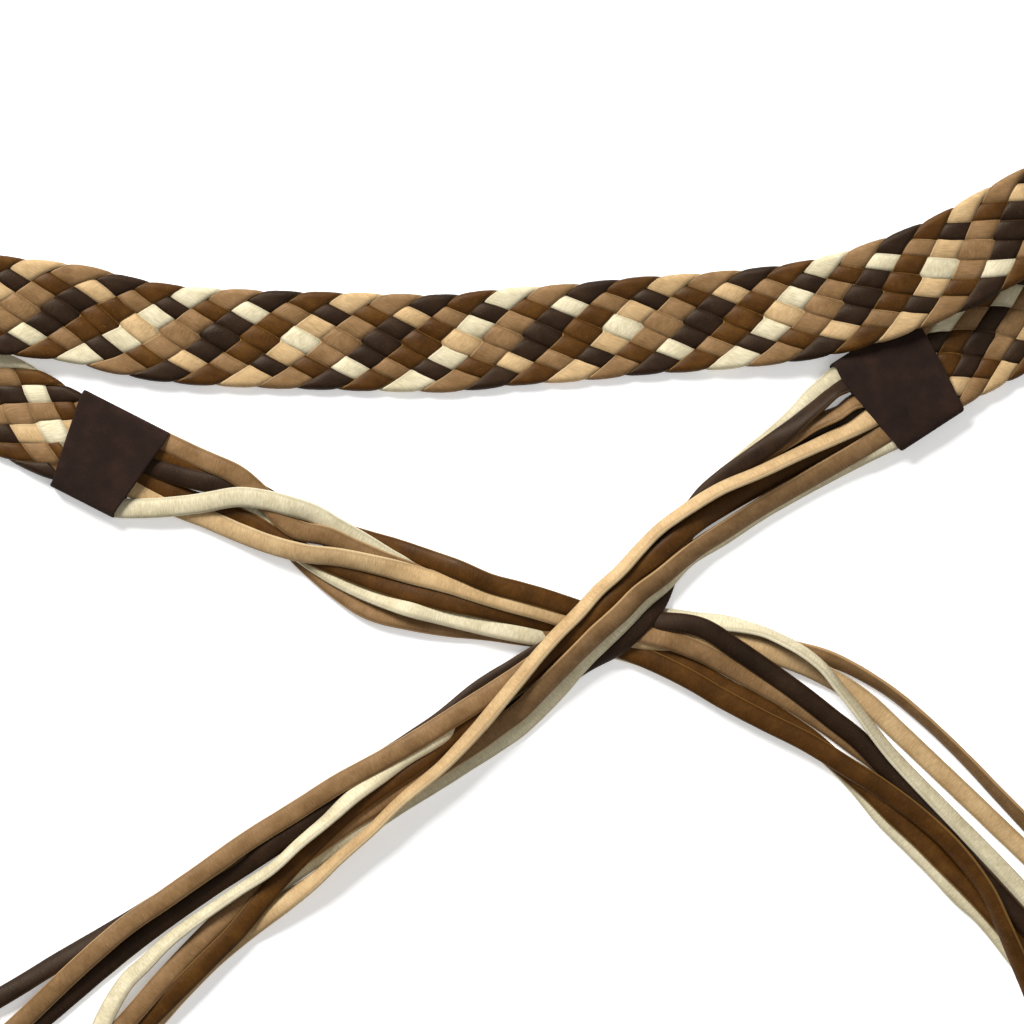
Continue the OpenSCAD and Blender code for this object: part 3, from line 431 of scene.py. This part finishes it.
LEATHERS = {
    "cream": lace_leather("cream_calf", ("#b6aa89", "#c6bb9b", "#d0c5a6"), "#dbd0b3", 0.55, 0.25),
    "tan": lace_leather("light_tan_calf", ("#a5875e", "#b3956b", "#bea277"), "#d0b98f", 0.53, 0.3),
    "camel": lace_leather("camel_calf", ("#6b4f31", "#7b5e3d", "#896a49"), "#b59265", 0.53, 0.3),
    "brown": lace_leather("olive_brown_calf", ("#392106", "#472a09", "#55360e"), "#8c6834",
                          0.5, 0.3),
    "espresso": lace_leather("espresso_calf", ("#1a0f07", "#23150b", "#2d1d11"), "#5b432a",
                             0.52, 0.35),
}
SUEDE = brushed_suede()
THREAD = waxed_thread()


# ---- Meshes ----

def add_object(name, data):
    thing = bpy.data.objects.new(name, data)
    bpy.context.collection.objects.link(thing)
    return thing


def mesh_object(name, points, faces, material, attributes=()):
    """A smooth-shaded piece from points in millimetres in the layout's own frame."""
    mesh = bpy.data.meshes.new(name)
    placed = (np.asarray(points) + LAYOUT_SHIFT) * MM
    mesh.from_pydata(placed.tolist(), [], faces)
    for key, values in dict(attributes).items():
        mesh.attributes.new(key, "FLOAT", "POINT").data.foreach_set(
            "value", np.asarray(values, np.float32))
    mesh.materials.append(material)
    mesh.polygons.foreach_set("use_smooth", [True] * len(mesh.polygons))
    mesh.update()
    return add_object(name, mesh)


def baked(piece, name):
    """The piece with its modifiers applied, as a new plain mesh; the first one is removed."""
    graph = bpy.context.evaluated_depsgraph_get()
    graph.update()
    mesh = bpy.data.meshes.new_from_object(piece.evaluated_get(graph))
    mesh.name = name
    bpy.data.objects.remove(piece)
    return add_object(name, mesh)


def ring_faces(rings, around):
    """Faces of a closed tube whose rings lie one after another in the list of points."""
    faces = []
    for i in range(rings - 1):
        for k in range(around):
            a, b = i * around + k, i * around + (k + 1) % around
            faces.append((a, b, b + around, a + around))
    faces.append(tuple(range(around - 1, -1, -1)))
    faces.append(tuple(range((rings - 1) * around, rings * around)))
    return faces


def ride_and_replace(piece, node):
    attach(piece, "root")
    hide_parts(node)


# ---- Loose laces: a flat profile swept along each route ----

LACE_STEP = 10          # steps from one route point to the next
SQUARENESS = 3.2        # of a lace's rounded section: 2 is an oval, and more is squarer


def lace_sweep_tree():
    """Geometry nodes that sweep a flat lace along a line whose points say which way is up."""
    tree = bpy.data.node_groups.new("lace_sweep", "GeometryNodeTree")
    face = tree.interface
    face.new_socket("Line", in_out="INPUT", socket_type="NodeSocketGeometry")
    for name in ("Width", "Thickness", "Cupping", "Waviness"):
        face.new_socket(name, in_out="INPUT", socket_type="NodeSocketFloat")
    face.new_socket("Leather", in_out="INPUT", socket_type="NodeSocketMaterial")
    face.new_socket("Lace", in_out="OUTPUT", socket_type="NodeSocketGeometry")
    given = add_node(tree, "NodeGroupInput").outputs

    line = add_node(tree, "GeometryNodeMeshToCurve", links={"Mesh": given["Line"]})
    up = add_node(tree, "GeometryNodeInputNamedAttribute", {"data_type": "FLOAT_VECTOR"},
                  {"Name": "up"})
    aimed = add_node(tree, "GeometryNodeSetCurveNormal", {"mode": "FREE"},
                     links={"Curve": line, "Normal": up})

    # The profile's X runs through the lace's thickness and its Y across the width. A
    # circle is squared a little, then stretched to the lace's size and cupped.
    circle = add_node(tree, "GeometryNodeCurvePrimitiveCircle", values={
        "Resolution": 28, "Radius": 1.0})
    corner = add_node(tree, "GeometryNodeInputPosition")
    spot = add_node(tree, "ShaderNodeSeparateXYZ", links={"Vector": corner})

    powers = []
    for axis in "XY":
        size = add_node(tree, "ShaderNodeMath", {"operation": "ABSOLUTE"}, links={
            0: spot.outputs[axis]})
        powers.append(add_node(tree, "ShaderNodeMath", {"operation": "POWER"},
                               {1: SQUARENESS}, {0: size}))
    total = add_node(tree, "ShaderNodeMath", links={0: powers[0], 1: powers[1]})
    stretch = add_node(tree, "ShaderNodeMath", {"operation": "POWER"},
                       {1: -1 / SQUARENESS}, {0: total})
    squared = add_node(tree, "ShaderNodeVectorMath", {"operation": "SCALE"}, links={
        0: corner, "Scale": stretch})
    sized = add_node(tree, "ShaderNodeSeparateXYZ", links={"Vector": squared})
    share = sized.outputs["Y"]
    cupped = add_node(tree, "ShaderNodeMath", {"operation": "MULTIPLY"}, links={
        0: share, 1: share})
    drop = add_node(tree, "ShaderNodeMath", {"operation": "MULTIPLY"}, links={
        0: cupped, 1: given["Cupping"]})
    half = add_node(tree, "ShaderNodeVectorMath", {"operation": "SCALE"}, {"Scale": 0.5}, {
        0: squared})
    halves = add_node(tree, "ShaderNodeSeparateXYZ", links={"Vector": half})
    flat = add_node(tree, "ShaderNodeMath", {"operation": "MULTIPLY"}, links={
        0: halves.outputs["X"], 1: given["Thickness"]})
    through = add_node(tree, "ShaderNodeMath", {"operation": "SUBTRACT"}, links={
        0: flat, 1: drop})
    sideways = add_node(tree, "ShaderNodeMath", {"operation": "MULTIPLY"}, links={
        0: halves.outputs["Y"], 1: given["Width"]})
    stored = add_node(tree, "GeometryNodeStoreNamedAttribute", {
        "data_type": "FLOAT", "domain": "POINT"}, {"Name": "across"},
        {"Geometry": circle, "Value": share})
    outline = add_node(tree, "ShaderNodeCombineXYZ", links={"X": through, "Y": sideways})
    profile = add_node(tree, "GeometryNodeSetPosition", links={
        "Geometry": stored, "Position": outline})

    swept = add_node(tree, "GeometryNodeCurveToMesh", values={"Fill Caps": True}, links={
        "Curve": aimed, "Profile Curve": profile})

    # Slow waves of a cut strip, along the surface's own normal
    waves = add_node(tree, "ShaderNodeTexNoise", values={"Scale": 140.0, "Detail": 2.0})
    centred = add_node(tree, "ShaderNodeMath", {"operation": "SUBTRACT"}, {1: 0.5},
                       {0: waves.outputs["Fac"]})
    height = add_node(tree, "ShaderNodeMath", {"operation": "MULTIPLY"}, links={
        0: centred, 1: given["Waviness"]})
    normal = add_node(tree, "GeometryNodeInputNormal")
    push = add_node(tree, "ShaderNodeVectorMath", {"operation": "SCALE"}, links={
        0: normal, "Scale": height})
    waved = add_node(tree, "GeometryNodeSetPosition", links={
        "Geometry": swept, "Offset": push})
    smooth = add_node(tree, "GeometryNodeSetShadeSmooth", links={"Geometry": waved})
    real = add_node(tree, "GeometryNodeRealizeInstances", links={"Geometry": smooth})
    dressed = add_node(tree, "GeometryNodeSetMaterial", links={
        "Geometry": real, "Material": given["Leather"]})
    add_node(tree, "NodeGroupOutput", links={"Lace": dressed})
    return tree


def set_inputs(modifier, values):
    """Modifier inputs by the tree's socket names, set through the sockets' identifiers."""
    for item in modifier.node_group.interface.items_tree:
        if item.in_out == "INPUT" and item.name in values:
            modifier[item.identifier] = values[item.name]


LACE_SWEEP = lace_sweep_tree()


def lace_frames(line):
    """The way up of a lace's flat face at each point of its line, from the roll."""
    path = line[:, :3]
    heading = unit(np.gradient(path, axis=0))
    level = unit(np.cross([0, 0, 1], heading))
    upright = np.cross(heading, level)
    roll = np.radians(line[:, 3])[:, None]
    return upright * np.cos(roll) - level * np.sin(roll)


def loose_lace(name, line, tone):
    up = lace_frames(line)
    path = (line[:, :3] + LAYOUT_SHIFT) * MM
    mesh = bpy.data.meshes.new(name + "_guide")
    mesh.from_pydata(path.tolist(), [(i, i + 1) for i in range(len(path) - 1)], [])
    mesh.attributes.new("up", "FLOAT_VECTOR", "POINT").data.foreach_set("vector", up.ravel())
    mesh.attributes.new("run", "FLOAT", "POINT").data.foreach_set(
        "value", lengths_along(line[:, :3]).astype(np.float32))
    guide = add_object(name + "_guide", mesh)
    modifier = guide.modifiers.new("sweep", "NODES")
    modifier.node_group = LACE_SWEEP
    set_inputs(modifier, {
        "Width": LACE_W * MM, "Thickness": LACE_T * MM, "Cupping": 0.4 * MM,
        "Waviness": 0.2 * MM, "Leather": LEATHERS[tone]})
    lace = baked(guide, name + "_calf")
    ride_and_replace(lace, name)


# ---- Settling: the laces come down on the table and on each other ----

RAILS = np.array([-1.8, -0.6, 0.6, 1.8])    # places across a lace that are kept apart
SETTLE_ROUNDS = 170
FIRM_ROUNDS = 50        # last rounds, which only part the laces
SUPPLE_PASSES = 24      # passes that take out bends too sharp for leather
EDGE_ROOM = 0.4         # room under a lace's middle for its drooping edges
HELD_L = 12.0           # length in and near the wrap that stays as it is
FREEING_L = 10.0        # length after that over which a lace comes free
SEARCH_ROUNDS = 15      # rounds from one search for touching places to the next
SINK = 0.04             # how far a free lace sinks in a round
OVERLAP = 3.6           # middles closer than this in plan count as one lace on another
NEARBY = 6.5            # and up to this far, a lace keeps the order of its nearest overlap
FIRM_OVERLAP = 12       # overlaps with less weight than this don't set an order


def level_of(line):
    """The level direction across a lace, in plan, at each of its points."""
    heading = np.gradient(line[:, :2], axis=0)
    return unit(np.stack([-heading[:, 1], heading[:, 0]], axis=1))


def who_is_over(one, other):
    """For each point of one lace, +1 where it lies over the other lace and -1 where it lies
    under. A short change of order within a long overlap is smoothed away."""
    apart = np.linalg.norm(one[:, None, :2] - other[None, :, :2], axis=2)
    nearest = apart.argmin(axis=1)
    distance = apart.min(axis=1)
    above = one[:, 2] - other[nearest, 2]
    order = np.where(above >= 0, 1.0, -1.0)
    places = np.flatnonzero(distance < OVERLAP)
    if len(places):
        weight = (OVERLAP + 0.2 - distance) ** 2
        changes = (np.diff(places) > 4) | (np.diff(order[places]) != 0)
        stretches = np.split(places, np.flatnonzero(changes) + 1)
        strengths = [abs((weight[part] * above[part]).sum()) for part in stretches]
        firm = [part for part, strength in zip(stretches, strengths) if strength > FIRM_OVERLAP]
        firm = firm or [stretches[int(np.argmax(strengths))]]
        for i in np.flatnonzero(distance < NEARBY):
            gaps = [max(part[0] - i, i - part[-1]) for part in firm]
            if min(gaps) < 25:
                order[i] = order[firm[int(np.argmin(gaps))][0]]
    return order


def touching_pairs(plan, owner):
    """Pairs of rail points of different laces that are closer in plan than a lace is thick."""
    cell = np.floor(plan / LACE_T).astype(int)
    cell -= cell.min(axis=0) - 1
    width = cell[:, 1].max() + 3
    key = cell[:, 0] * width + cell[:, 1]
    ranked = np.argsort(key, kind="stable")
    sorted_key = key[ranked]
    firsts, seconds = [], []
    for step in (0, 1, width - 1, width, width + 1):
        low = np.searchsorted(sorted_key, key + step, "left")
        high = np.searchsorted(sorted_key, key + step, "right")
        count = high - low
        a = np.repeat(np.arange(len(key)), count)
        b = ranked[np.repeat(low, count) + np.arange(count.sum())
                   - np.repeat(np.cumsum(count) - count, count)]
        keep = (owner[a] != owner[b]) & ((step != 0) | (a < b))
        keep &= np.linalg.norm(plan[a] - plan[b], axis=1) < LACE_T
        firsts.append(a[keep])
        seconds.append(b[keep])
    return np.concatenate(firsts), np.concatenate(seconds)


def settled(lines):
    """The same lines with their heights and rolls settled. Their courses in plan stay."""
    starts = np.cumsum([0] + [len(line) for line in lines])
    every = np.vstack(lines)
    owner = np.repeat(np.arange(len(lines)), np.diff(starts))
    level = np.vstack([level_of(line) for line in lines])
    run = np.concatenate([lengths_along(line[:, :3]) for line in lines])
    free = np.clip((run - HELD_L) / FREEING_L, 0, 1)
    over = {(a, b): who_is_over(lines[a], lines[b])
            for a in range(len(lines)) for b in range(len(lines)) if a < b}
    height = every[:, 2].copy()
    drawn_roll = np.radians(every[:, 3])
    roll = drawn_roll.copy()
    point = np.repeat(np.arange(len(every)), len(RAILS))
    offset = np.tile(RAILS, len(every))
    order_table = np.zeros((len(every), len(lines)))
    for (a, b), order in over.items():
        order_table[starts[a]:starts[a + 1], b] = order
    inner = np.ones(len(every), bool)
    inner[starts[:-1]] = inner[starts[1:] - 1] = False
    inside = np.flatnonzero(inner)

    def eased(values, amount):
        out = values.copy()
        out[inside] += amount * (0.5 * (values[inside - 1] + values[inside + 1])
                                 - values[inside])
        return out

    for turn in range(SETTLE_ROUNDS):
        if turn % SEARCH_ROUNDS == 0:
            plan = every[point, :2] + level[point] * (offset * np.cos(roll[point]))[:, None]
            first, second = touching_pairs(plan, owner[point])
            swap = owner[point[first]] > owner[point[second]]
            first, second = np.where(swap, second, first), np.where(swap, first, second)
            apart = np.linalg.norm(plan[first] - plan[second], axis=1)
            need = np.sqrt(LACE_T ** 2 - apart ** 2)
            order = order_table[point[first], owner[point[second]]]
        if turn < SETTLE_ROUNDS - FIRM_ROUNDS:
            height -= SINK * free
        rail_height = height[point] + offset * np.sin(roll[point])
        lack = np.maximum(need - order * (rail_height[first] - rail_height[second]), 0)
        share_first = free[point[first]]
        share_second = free[point[second]]
        total = np.maximum(share_first + share_second, 1e-6)
        size = len(point)
        move = np.bincount(first, order * lack * share_first / total, size) \
            - np.bincount(second, order * lack * share_second / total, size)
        touches = np.bincount(first, lack > 0, size) + np.bincount(second, lack > 0, size)
        move /= np.maximum(touches, 1)
        floor_lack = np.maximum(LACE_T / 2 + EDGE_ROOM - rail_height, 0)
        move += floor_lack
        touches += floor_lack > 0
        touched = np.bincount(point, touches > 0, len(every))
        rise = np.bincount(point, move, len(every)) / np.maximum(touched, 1)
        tilt = np.bincount(point, move * offset, len(every)) / (RAILS ** 2).sum()
        height += 0.9 * rise * free
        roll += 0.5 * tilt * free
        roll += 0.02 * (drawn_roll - roll) * free
        height = np.where(free > 0, eased(height, 0.5), height)
        roll = np.where(free > 0, eased(eased(roll, 0.5), 0.5), roll)
    for _ in range(SUPPLE_PASSES):
        rail_height = height[point] + offset * np.sin(roll[point])
        lowest = rail_height.reshape(len(every), len(RAILS)).min(axis=1)
        height += np.maximum(LACE_T / 2 + EDGE_ROOM - lowest, 0) * free
        height = np.where(free > 0, eased(height, 0.5), height)
        roll = np.where(free > 0, eased(roll, 0.5), roll)
    every[:, 2] = height
    every[:, 3] = np.degrees(roll)
    return [every[a:b] for a, b in zip(starts, starts[1:])]


# ---- Plaited strap: each strand is one strip, folded at the strap's edges ----

STRAP_LINE = smooth_curve(STRAP_ROUTE, 12)
STRAP_AT = lengths_along(STRAP_LINE[:, :3])
STRAP_LEN = STRAP_AT[-1]


def strap_frames():
    heading = unit(np.gradient(STRAP_LINE[:, :3], axis=0))
    turn = np.radians(STRAP_LINE[:, 3])
    hint = np.stack([np.cos(turn), np.sin(turn), 0 * turn], axis=1)
    across = unit(hint - (hint * heading).sum(axis=1, keepdims=True) * heading)
    return across, np.cross(heading, across)


STRAP_ACROSS, STRAP_UP = strap_frames()


def along_strap(table, s):
    return np.stack([np.interp(s, STRAP_AT, table[:, i]) for i in range(3)], axis=-1)


CELLS = 8                               # steps across the strap
CELL_W = STRAP_W / CELLS
CELL_L = FOLD_PITCH / 2
LAYER = 0.7                             # height of a lace's middle over the strap's middle
LACE_FILL = 1.02                        # a lace's width in cells, so that no corner gapes
EDGE_CROWDING = 0.1                     # how much closer the rows lie at the strap's edges
WRAP_SQUEEZE = 0.08                     # how much narrower the plait is in a wrap
FADE_L = 20.0                           # length over which it opens out again
STEPS_PER_CELL = 9
FLATNESS = 0.55                         # lower is flatter over a crossing, and steeper between
EDGE_BULGE = 0.1                        # how far a fold's middle stands out


def clear_of_wraps(s):
    reach = np.minimum(s, STRAP_LEN - s) - WRAP_L / 2
    return np.clip(reach / FADE_L, 0, 1)


def strand_middle(first, step, side):
    """Middle surface of a strand: step counts cells along it, side runs over its width in
    cells. Both follow the plait, so a line of equal step lies along the crossing laces."""
    unfolded = step * CELL_W - side * CELL_W - STRAP_W / 2
    s = first + (step + side) * CELL_L
    lap = np.floor((unfolded + STRAP_W / 2) / STRAP_W)
    rising = np.mod(lap, 2) == 0
    into = unfolded + STRAP_W / 2 - lap * STRAP_W
    edge_gap = np.minimum(into, STRAP_W - into)

    # The fold: a half turn round the edge with the layer height as its radius
    quarter = LAYER * math.pi / 2
    angle = np.clip(edge_gap / LAYER, 0, math.pi / 2)
    inward = np.where(edge_gap < quarter, LAYER * (1 - np.cos(angle)),
                      LAYER + edge_gap - quarter)
    bulge = EDGE_BULGE * np.clip(1 - (2 * side / LACE_FILL) ** 2, 0, 1) \
        * np.exp(-(edge_gap / 1.6) ** 2)
    from_edge = inward - bulge
    at_top = (into > STRAP_W / 2) == rising
    v = np.where(at_top, 1, -1) * (STRAP_W / 2 - from_edge)
    v = v * (1 + EDGE_CROWDING * (1 - (2 * v / STRAP_W) ** 2))
    face = np.where(rising, 1, -1)

    # The weave: over the odd crossings and under the even ones, but not near a fold
    beat = np.mod(step, CELLS)
    weave = -np.cos(math.pi * beat)
    weave = np.sign(weave) * np.abs(weave) ** FLATNESS
    inner = (beat > 1) & (beat < CELLS - 1)
    height = LAYER * np.where(inner, weave, np.sin(angle))
    w = face * height

    open_out = clear_of_wraps(s)
    place = np.clip(s - SKEW * open_out * v, 0, STRAP_LEN)
    v = v * (1 - WRAP_SQUEEZE * (1 - open_out))
    return (along_strap(STRAP_LINE, place) + v[..., None] * along_strap(STRAP_ACROSS, place)
            + w[..., None] * along_strap(STRAP_UP, place))


def strand(number, tone):
    first = PLAIT_START + (number - 1) * FOLD_PITCH - 2 * CELLS * CELL_L
    low = math.ceil((CELL_L - first) / CELL_L)
    high = math.floor((STRAP_LEN - CELL_L - first) / CELL_L)
    steps = np.linspace(low, high, (high - low) * STEPS_PER_CELL + 1)
    shares = np.sin(np.linspace(-1, 1, 11) * math.pi / 2)
    rng = np.random.default_rng(40 + number)
    wander = np.interp(steps, np.arange(low, high + 1), rng.normal(0, 0.018, high - low + 1))
    step, share = np.meshgrid(steps, shares, indexing="ij")
    side = share * LACE_FILL / 2 * (1 + 0.03 * np.sin(1.7 * step + number)) + wander[:, None]
    middle = strand_middle(first, step, side)
    run = np.gradient(middle, axis=0)
    cross = np.gradient(middle, axis=1)
    normal = unit(np.cross(run, -cross))
    half = (LACE_T / 2 * np.clip(1 - np.abs(share) ** 2.6, 0, 1) ** 0.5)[..., None]
    top = middle + normal * half
    bottom = middle - normal * half
    rings = np.concatenate([top, bottom[:, -2:0:-1]], axis=1)
    across = np.concatenate([share, share[:, -2:0:-1]], axis=1)
    count, around = rings.shape[:2]
    along = np.repeat((step[:, :1] * FOLD_PITCH * 0.6), around, axis=1)
    piece = mesh_object("strand_%d_calf" % number, rings.reshape(-1, 3),
                        ring_faces(count, around), LEATHERS[tone],
                        {"across": across.ravel(), "run": along.ravel()})
    ride_and_replace(piece, "strand_%d" % number)


# ---- Suede wraps and their thread bindings ----

def wrap(name, place, turn, tail, reach, fuller, seed):
    """A strip of suede wound once round the plait, a little askew, with wavy cut edges. The
    loose laces leave it towards tail, +1 or -1 along its X. reach says how much further each
    end goes at the -Y and the +Y side: first the end with the laces, then the other. The -Y
    half is made wider by fuller, where it has a lace to cover."""
    rng = np.random.default_rng(seed)
    around, along = 96, 28
    angle = np.linspace(0, 2 * math.pi, around, endpoint=False)
    x = np.linspace(-0.5, 0.5, along)
    waves = rng.normal(0, 1, (4, 2))
    grid_a, grid_x = np.meshgrid(angle, x, indexing="ij")

    def shell(width, thickness, power):
        c, s = np.cos(grid_a), np.sin(grid_a)
        y = np.sign(c) * np.abs(c) ** (2 / power) * width / 2
        z = np.sign(s) * np.abs(s) ** (2 / power) * thickness / 2
        return y, z

    ripple = sum(a * np.sin((k + 1) * grid_a + b) for k, (a, b) in enumerate(waves)) * RIPPLE
    length = WRAP_L * grid_x + ripple * np.sign(grid_x) * np.abs(2 * grid_x) ** 3
    pinch = 1 - 0.05 * np.cos(2 * math.pi * grid_x)
    y, z = shell(WRAP_W - 0.1, WRAP_T, 5)
    dimple = 0.12 * np.sin(grid_x * 9 + 3 * np.sin(2 * grid_a)) * (z > 0)
    outer = np.stack([length, y, np.where(z > 0, z * (0.9 + 0.1 * pinch) + dimple - 0.15, z)], -1)
    y, z = shell(WRAP_W - 2 * SUEDE_T, WRAP_T - 2 * SUEDE_T, 6)
    inner = np.stack([length * 0.995, y, z], -1)
    both = np.concatenate([outer, inner[:, ::-1]], axis=1)
    rows, columns = both.shape[:2]
    points = both.reshape(-1, 3)
    far = np.clip(0.5 - points[:, 1] / WRAP_W, 0, 1)
    points[:, 1] *= np.where(points[:, 1] < 0, fuller, 1)
    for end, (at_minus_y, at_plus_y) in zip((tail, -tail), reach):
        share = np.clip(end * points[:, 0] / (WRAP_L / 2), 0, 1)
        points[:, 0] += end * share * (far * at_minus_y + (1 - far) * at_plus_y)
    faces = []
    for i in range(rows):
        for j in range(columns):
            a, b = i * columns, (i + 1) % rows * columns
            k = (j + 1) % columns
            faces.append((a + j, b + j, b + k, a + k))
    piece = mesh_object(name + "_suede", turned(turn, place)(points), faces, SUEDE)
    bevel = piece.modifiers.new("soften", "SUBSURF")
    bevel.levels = bevel.render_levels = 1
    ride_and_replace(piece, name)


def binding_tree():
    """Geometry nodes that wind thread side by side into a flat sleeve."""
    tree = bpy.data.node_groups.new("thread_binding", "GeometryNodeTree")
    face = tree.interface
    face.new_socket("Geometry", in_out="INPUT", socket_type="NodeSocketGeometry")
    for name in ("Sleeve length", "Sleeve width", "Sleeve thickness", "Thread thickness"):
        face.new_socket(name, in_out="INPUT", socket_type="NodeSocketFloat")
    face.new_socket("Turns", in_out="INPUT", socket_type="NodeSocketInt")
    face.new_socket("Thread", in_out="INPUT", socket_type="NodeSocketMaterial")
    face.new_socket("Binding", in_out="OUTPUT", socket_type="NodeSocketGeometry")
    given = add_node(tree, "NodeGroupInput").outputs
    ends = []
    for share in (-0.5, 0.5):
        height = add_node(tree, "ShaderNodeMath", {"operation": "MULTIPLY"}, {1: share},
                          {0: given["Sleeve length"]})
        ends.append(add_node(tree, "ShaderNodeCombineXYZ", links={"Z": height}))
    rows = add_node(tree, "GeometryNodeMeshLine", {"mode": "END_POINTS"}, links={
        "Count": given["Turns"], "Start Location": ends[0], "Offset": ends[1]})
    loop = add_node(tree, "GeometryNodeCurvePrimitiveQuadrilateral", links={
        "Width": given["Sleeve width"], "Height": given["Sleeve thickness"]})
    eased = add_node(tree, "GeometryNodeFilletCurve", {"mode": "POLY"}, {
        "Count": 4, "Limit Radius": True, "Radius": 0.001}, {"Curve": loop})
    radius = add_node(tree, "ShaderNodeMath", {"operation": "MULTIPLY"}, {1: 0.5},
                      {0: given["Thread thickness"]})
    round_thread = add_node(tree, "GeometryNodeCurvePrimitiveCircle", values={
        "Resolution": 8}, links={"Radius": radius})
    turn = add_node(tree, "GeometryNodeCurveToMesh", links={
        "Curve": eased, "Profile Curve": round_thread})
    wound = add_node(tree, "GeometryNodeInstanceOnPoints", links={
        "Points": rows, "Instance": turn})
    real = add_node(tree, "GeometryNodeRealizeInstances", links={"Geometry": wound})
    smooth = add_node(tree, "GeometryNodeSetShadeSmooth", links={"Geometry": real})
    dressed = add_node(tree, "GeometryNodeSetMaterial", links={
        "Geometry": smooth, "Material": given["Thread"]})
    add_node(tree, "NodeGroupOutput", links={"Binding": dressed})
    return tree


BINDING_TREE = binding_tree()


def binding(name, place, turn):
    guide = add_object(name + "_guide", bpy.data.meshes.new(name + "_guide"))
    modifier = guide.modifiers.new("wind", "NODES")
    modifier.node_group = BINDING_TREE
    set_inputs(modifier, {
        "Sleeve length": (BINDING_L - THREAD_T) * MM,
        "Sleeve width": (WRAP_W - 2 * SUEDE_T - 0.2 - THREAD_T) * MM,
        "Sleeve thickness": (WRAP_T - 2 * SUEDE_T - 0.2 - THREAD_T) * MM,
        "Thread thickness": THREAD_T * MM, "Turns": round((BINDING_L - THREAD_T) / THREAD_T) + 1,
        "Thread": THREAD})
    piece = baked(guide, name + "_thread")
    # The loops are wound about Z and stacked along it: lay that axis along the strap
    points = np.array([v.co for v in piece.data.vertices]) / MM
    laid = turned(turn, place + LAYOUT_SHIFT)(points[:, [2, 0, 1]])
    piece.data.vertices.foreach_set("co", (laid * MM).ravel())
    piece.data.update()
    ride_and_replace(piece, name)


# ---- Table and light, in metres ----

TABLE_HALF = 3.0
LIT_SPOT = np.array([0.0, -0.05, 0.0])      # where both lights point


def add_table():
    half = TABLE_HALF
    mesh = bpy.data.meshes.new("table")
    mesh.from_pydata([(-half, -half, 0), (half, -half, 0), (half, half, 0), (-half, half, 0)],
                     [], [(0, 1, 2, 3)])
    mesh.materials.append(pale_table())
    add_object("table", mesh)


def add_light(name, place, size, power):
    data = bpy.data.lights.new(name, "AREA")
    data.size = size
    data.energy = power
    light = add_object(name, data)
    light.location = place
    away = LIT_SPOT - np.array(place)
    light.rotation_euler = (math.atan2(math.hypot(away[0], away[1]), -away[2]), 0,
                            math.atan2(-away[0], away[1]))


def add_studio():
    add_light("key_light", (-0.5, 0.7, 0.7), 0.4, 24)
    add_light("fill_light", (0.6, -0.3, 1.0), 0.9, 3)
    world = bpy.data.worlds.new("studio")
    world.use_nodes = True
    world.node_tree.nodes["Background"].inputs["Color"].default_value = (1, 1, 1, 1)
    world.node_tree.nodes["Background"].inputs["Strength"].default_value = 0.28
    bpy.context.scene.world = world
    bpy.context.scene.view_settings.view_transform = "Standard"


# ---- Assembly ----

add_camera()
LACE_NAMES = ["%s_lace_%d" % (side, number) for side in ("left", "right")
              for number in range(1, 9)]
LACE_LINES = settled([smooth_curve([(*point, 0)[:4] for point in route], LACE_STEP)
                      for route in LEFT_ROUTES + RIGHT_ROUTES])
for name, line, tone in zip(LACE_NAMES, LACE_LINES, LEFT_TONES + RIGHT_TONES):
    loose_lace(name, line, tone)
for number, tone in enumerate(STRAND_TONES, 1):
    strand(number, tone)
for side, place, turn, tail, reach, fuller, seed in (
        ("left", LEFT_WRAP, LEFT_TURN, -1, ((2.3, -1.0), (3.4, 0.0)), 1, 7),
        ("right", RIGHT_WRAP, RIGHT_TURN, 1, ((3.2, 0.0), (2.5, 0.0)), 1.2, 11)):
    wrap(side + "_wrap", place, turn, tail, reach, fuller, seed)
    binding(side + "_binding", place, turn)
add_table()
add_studio()
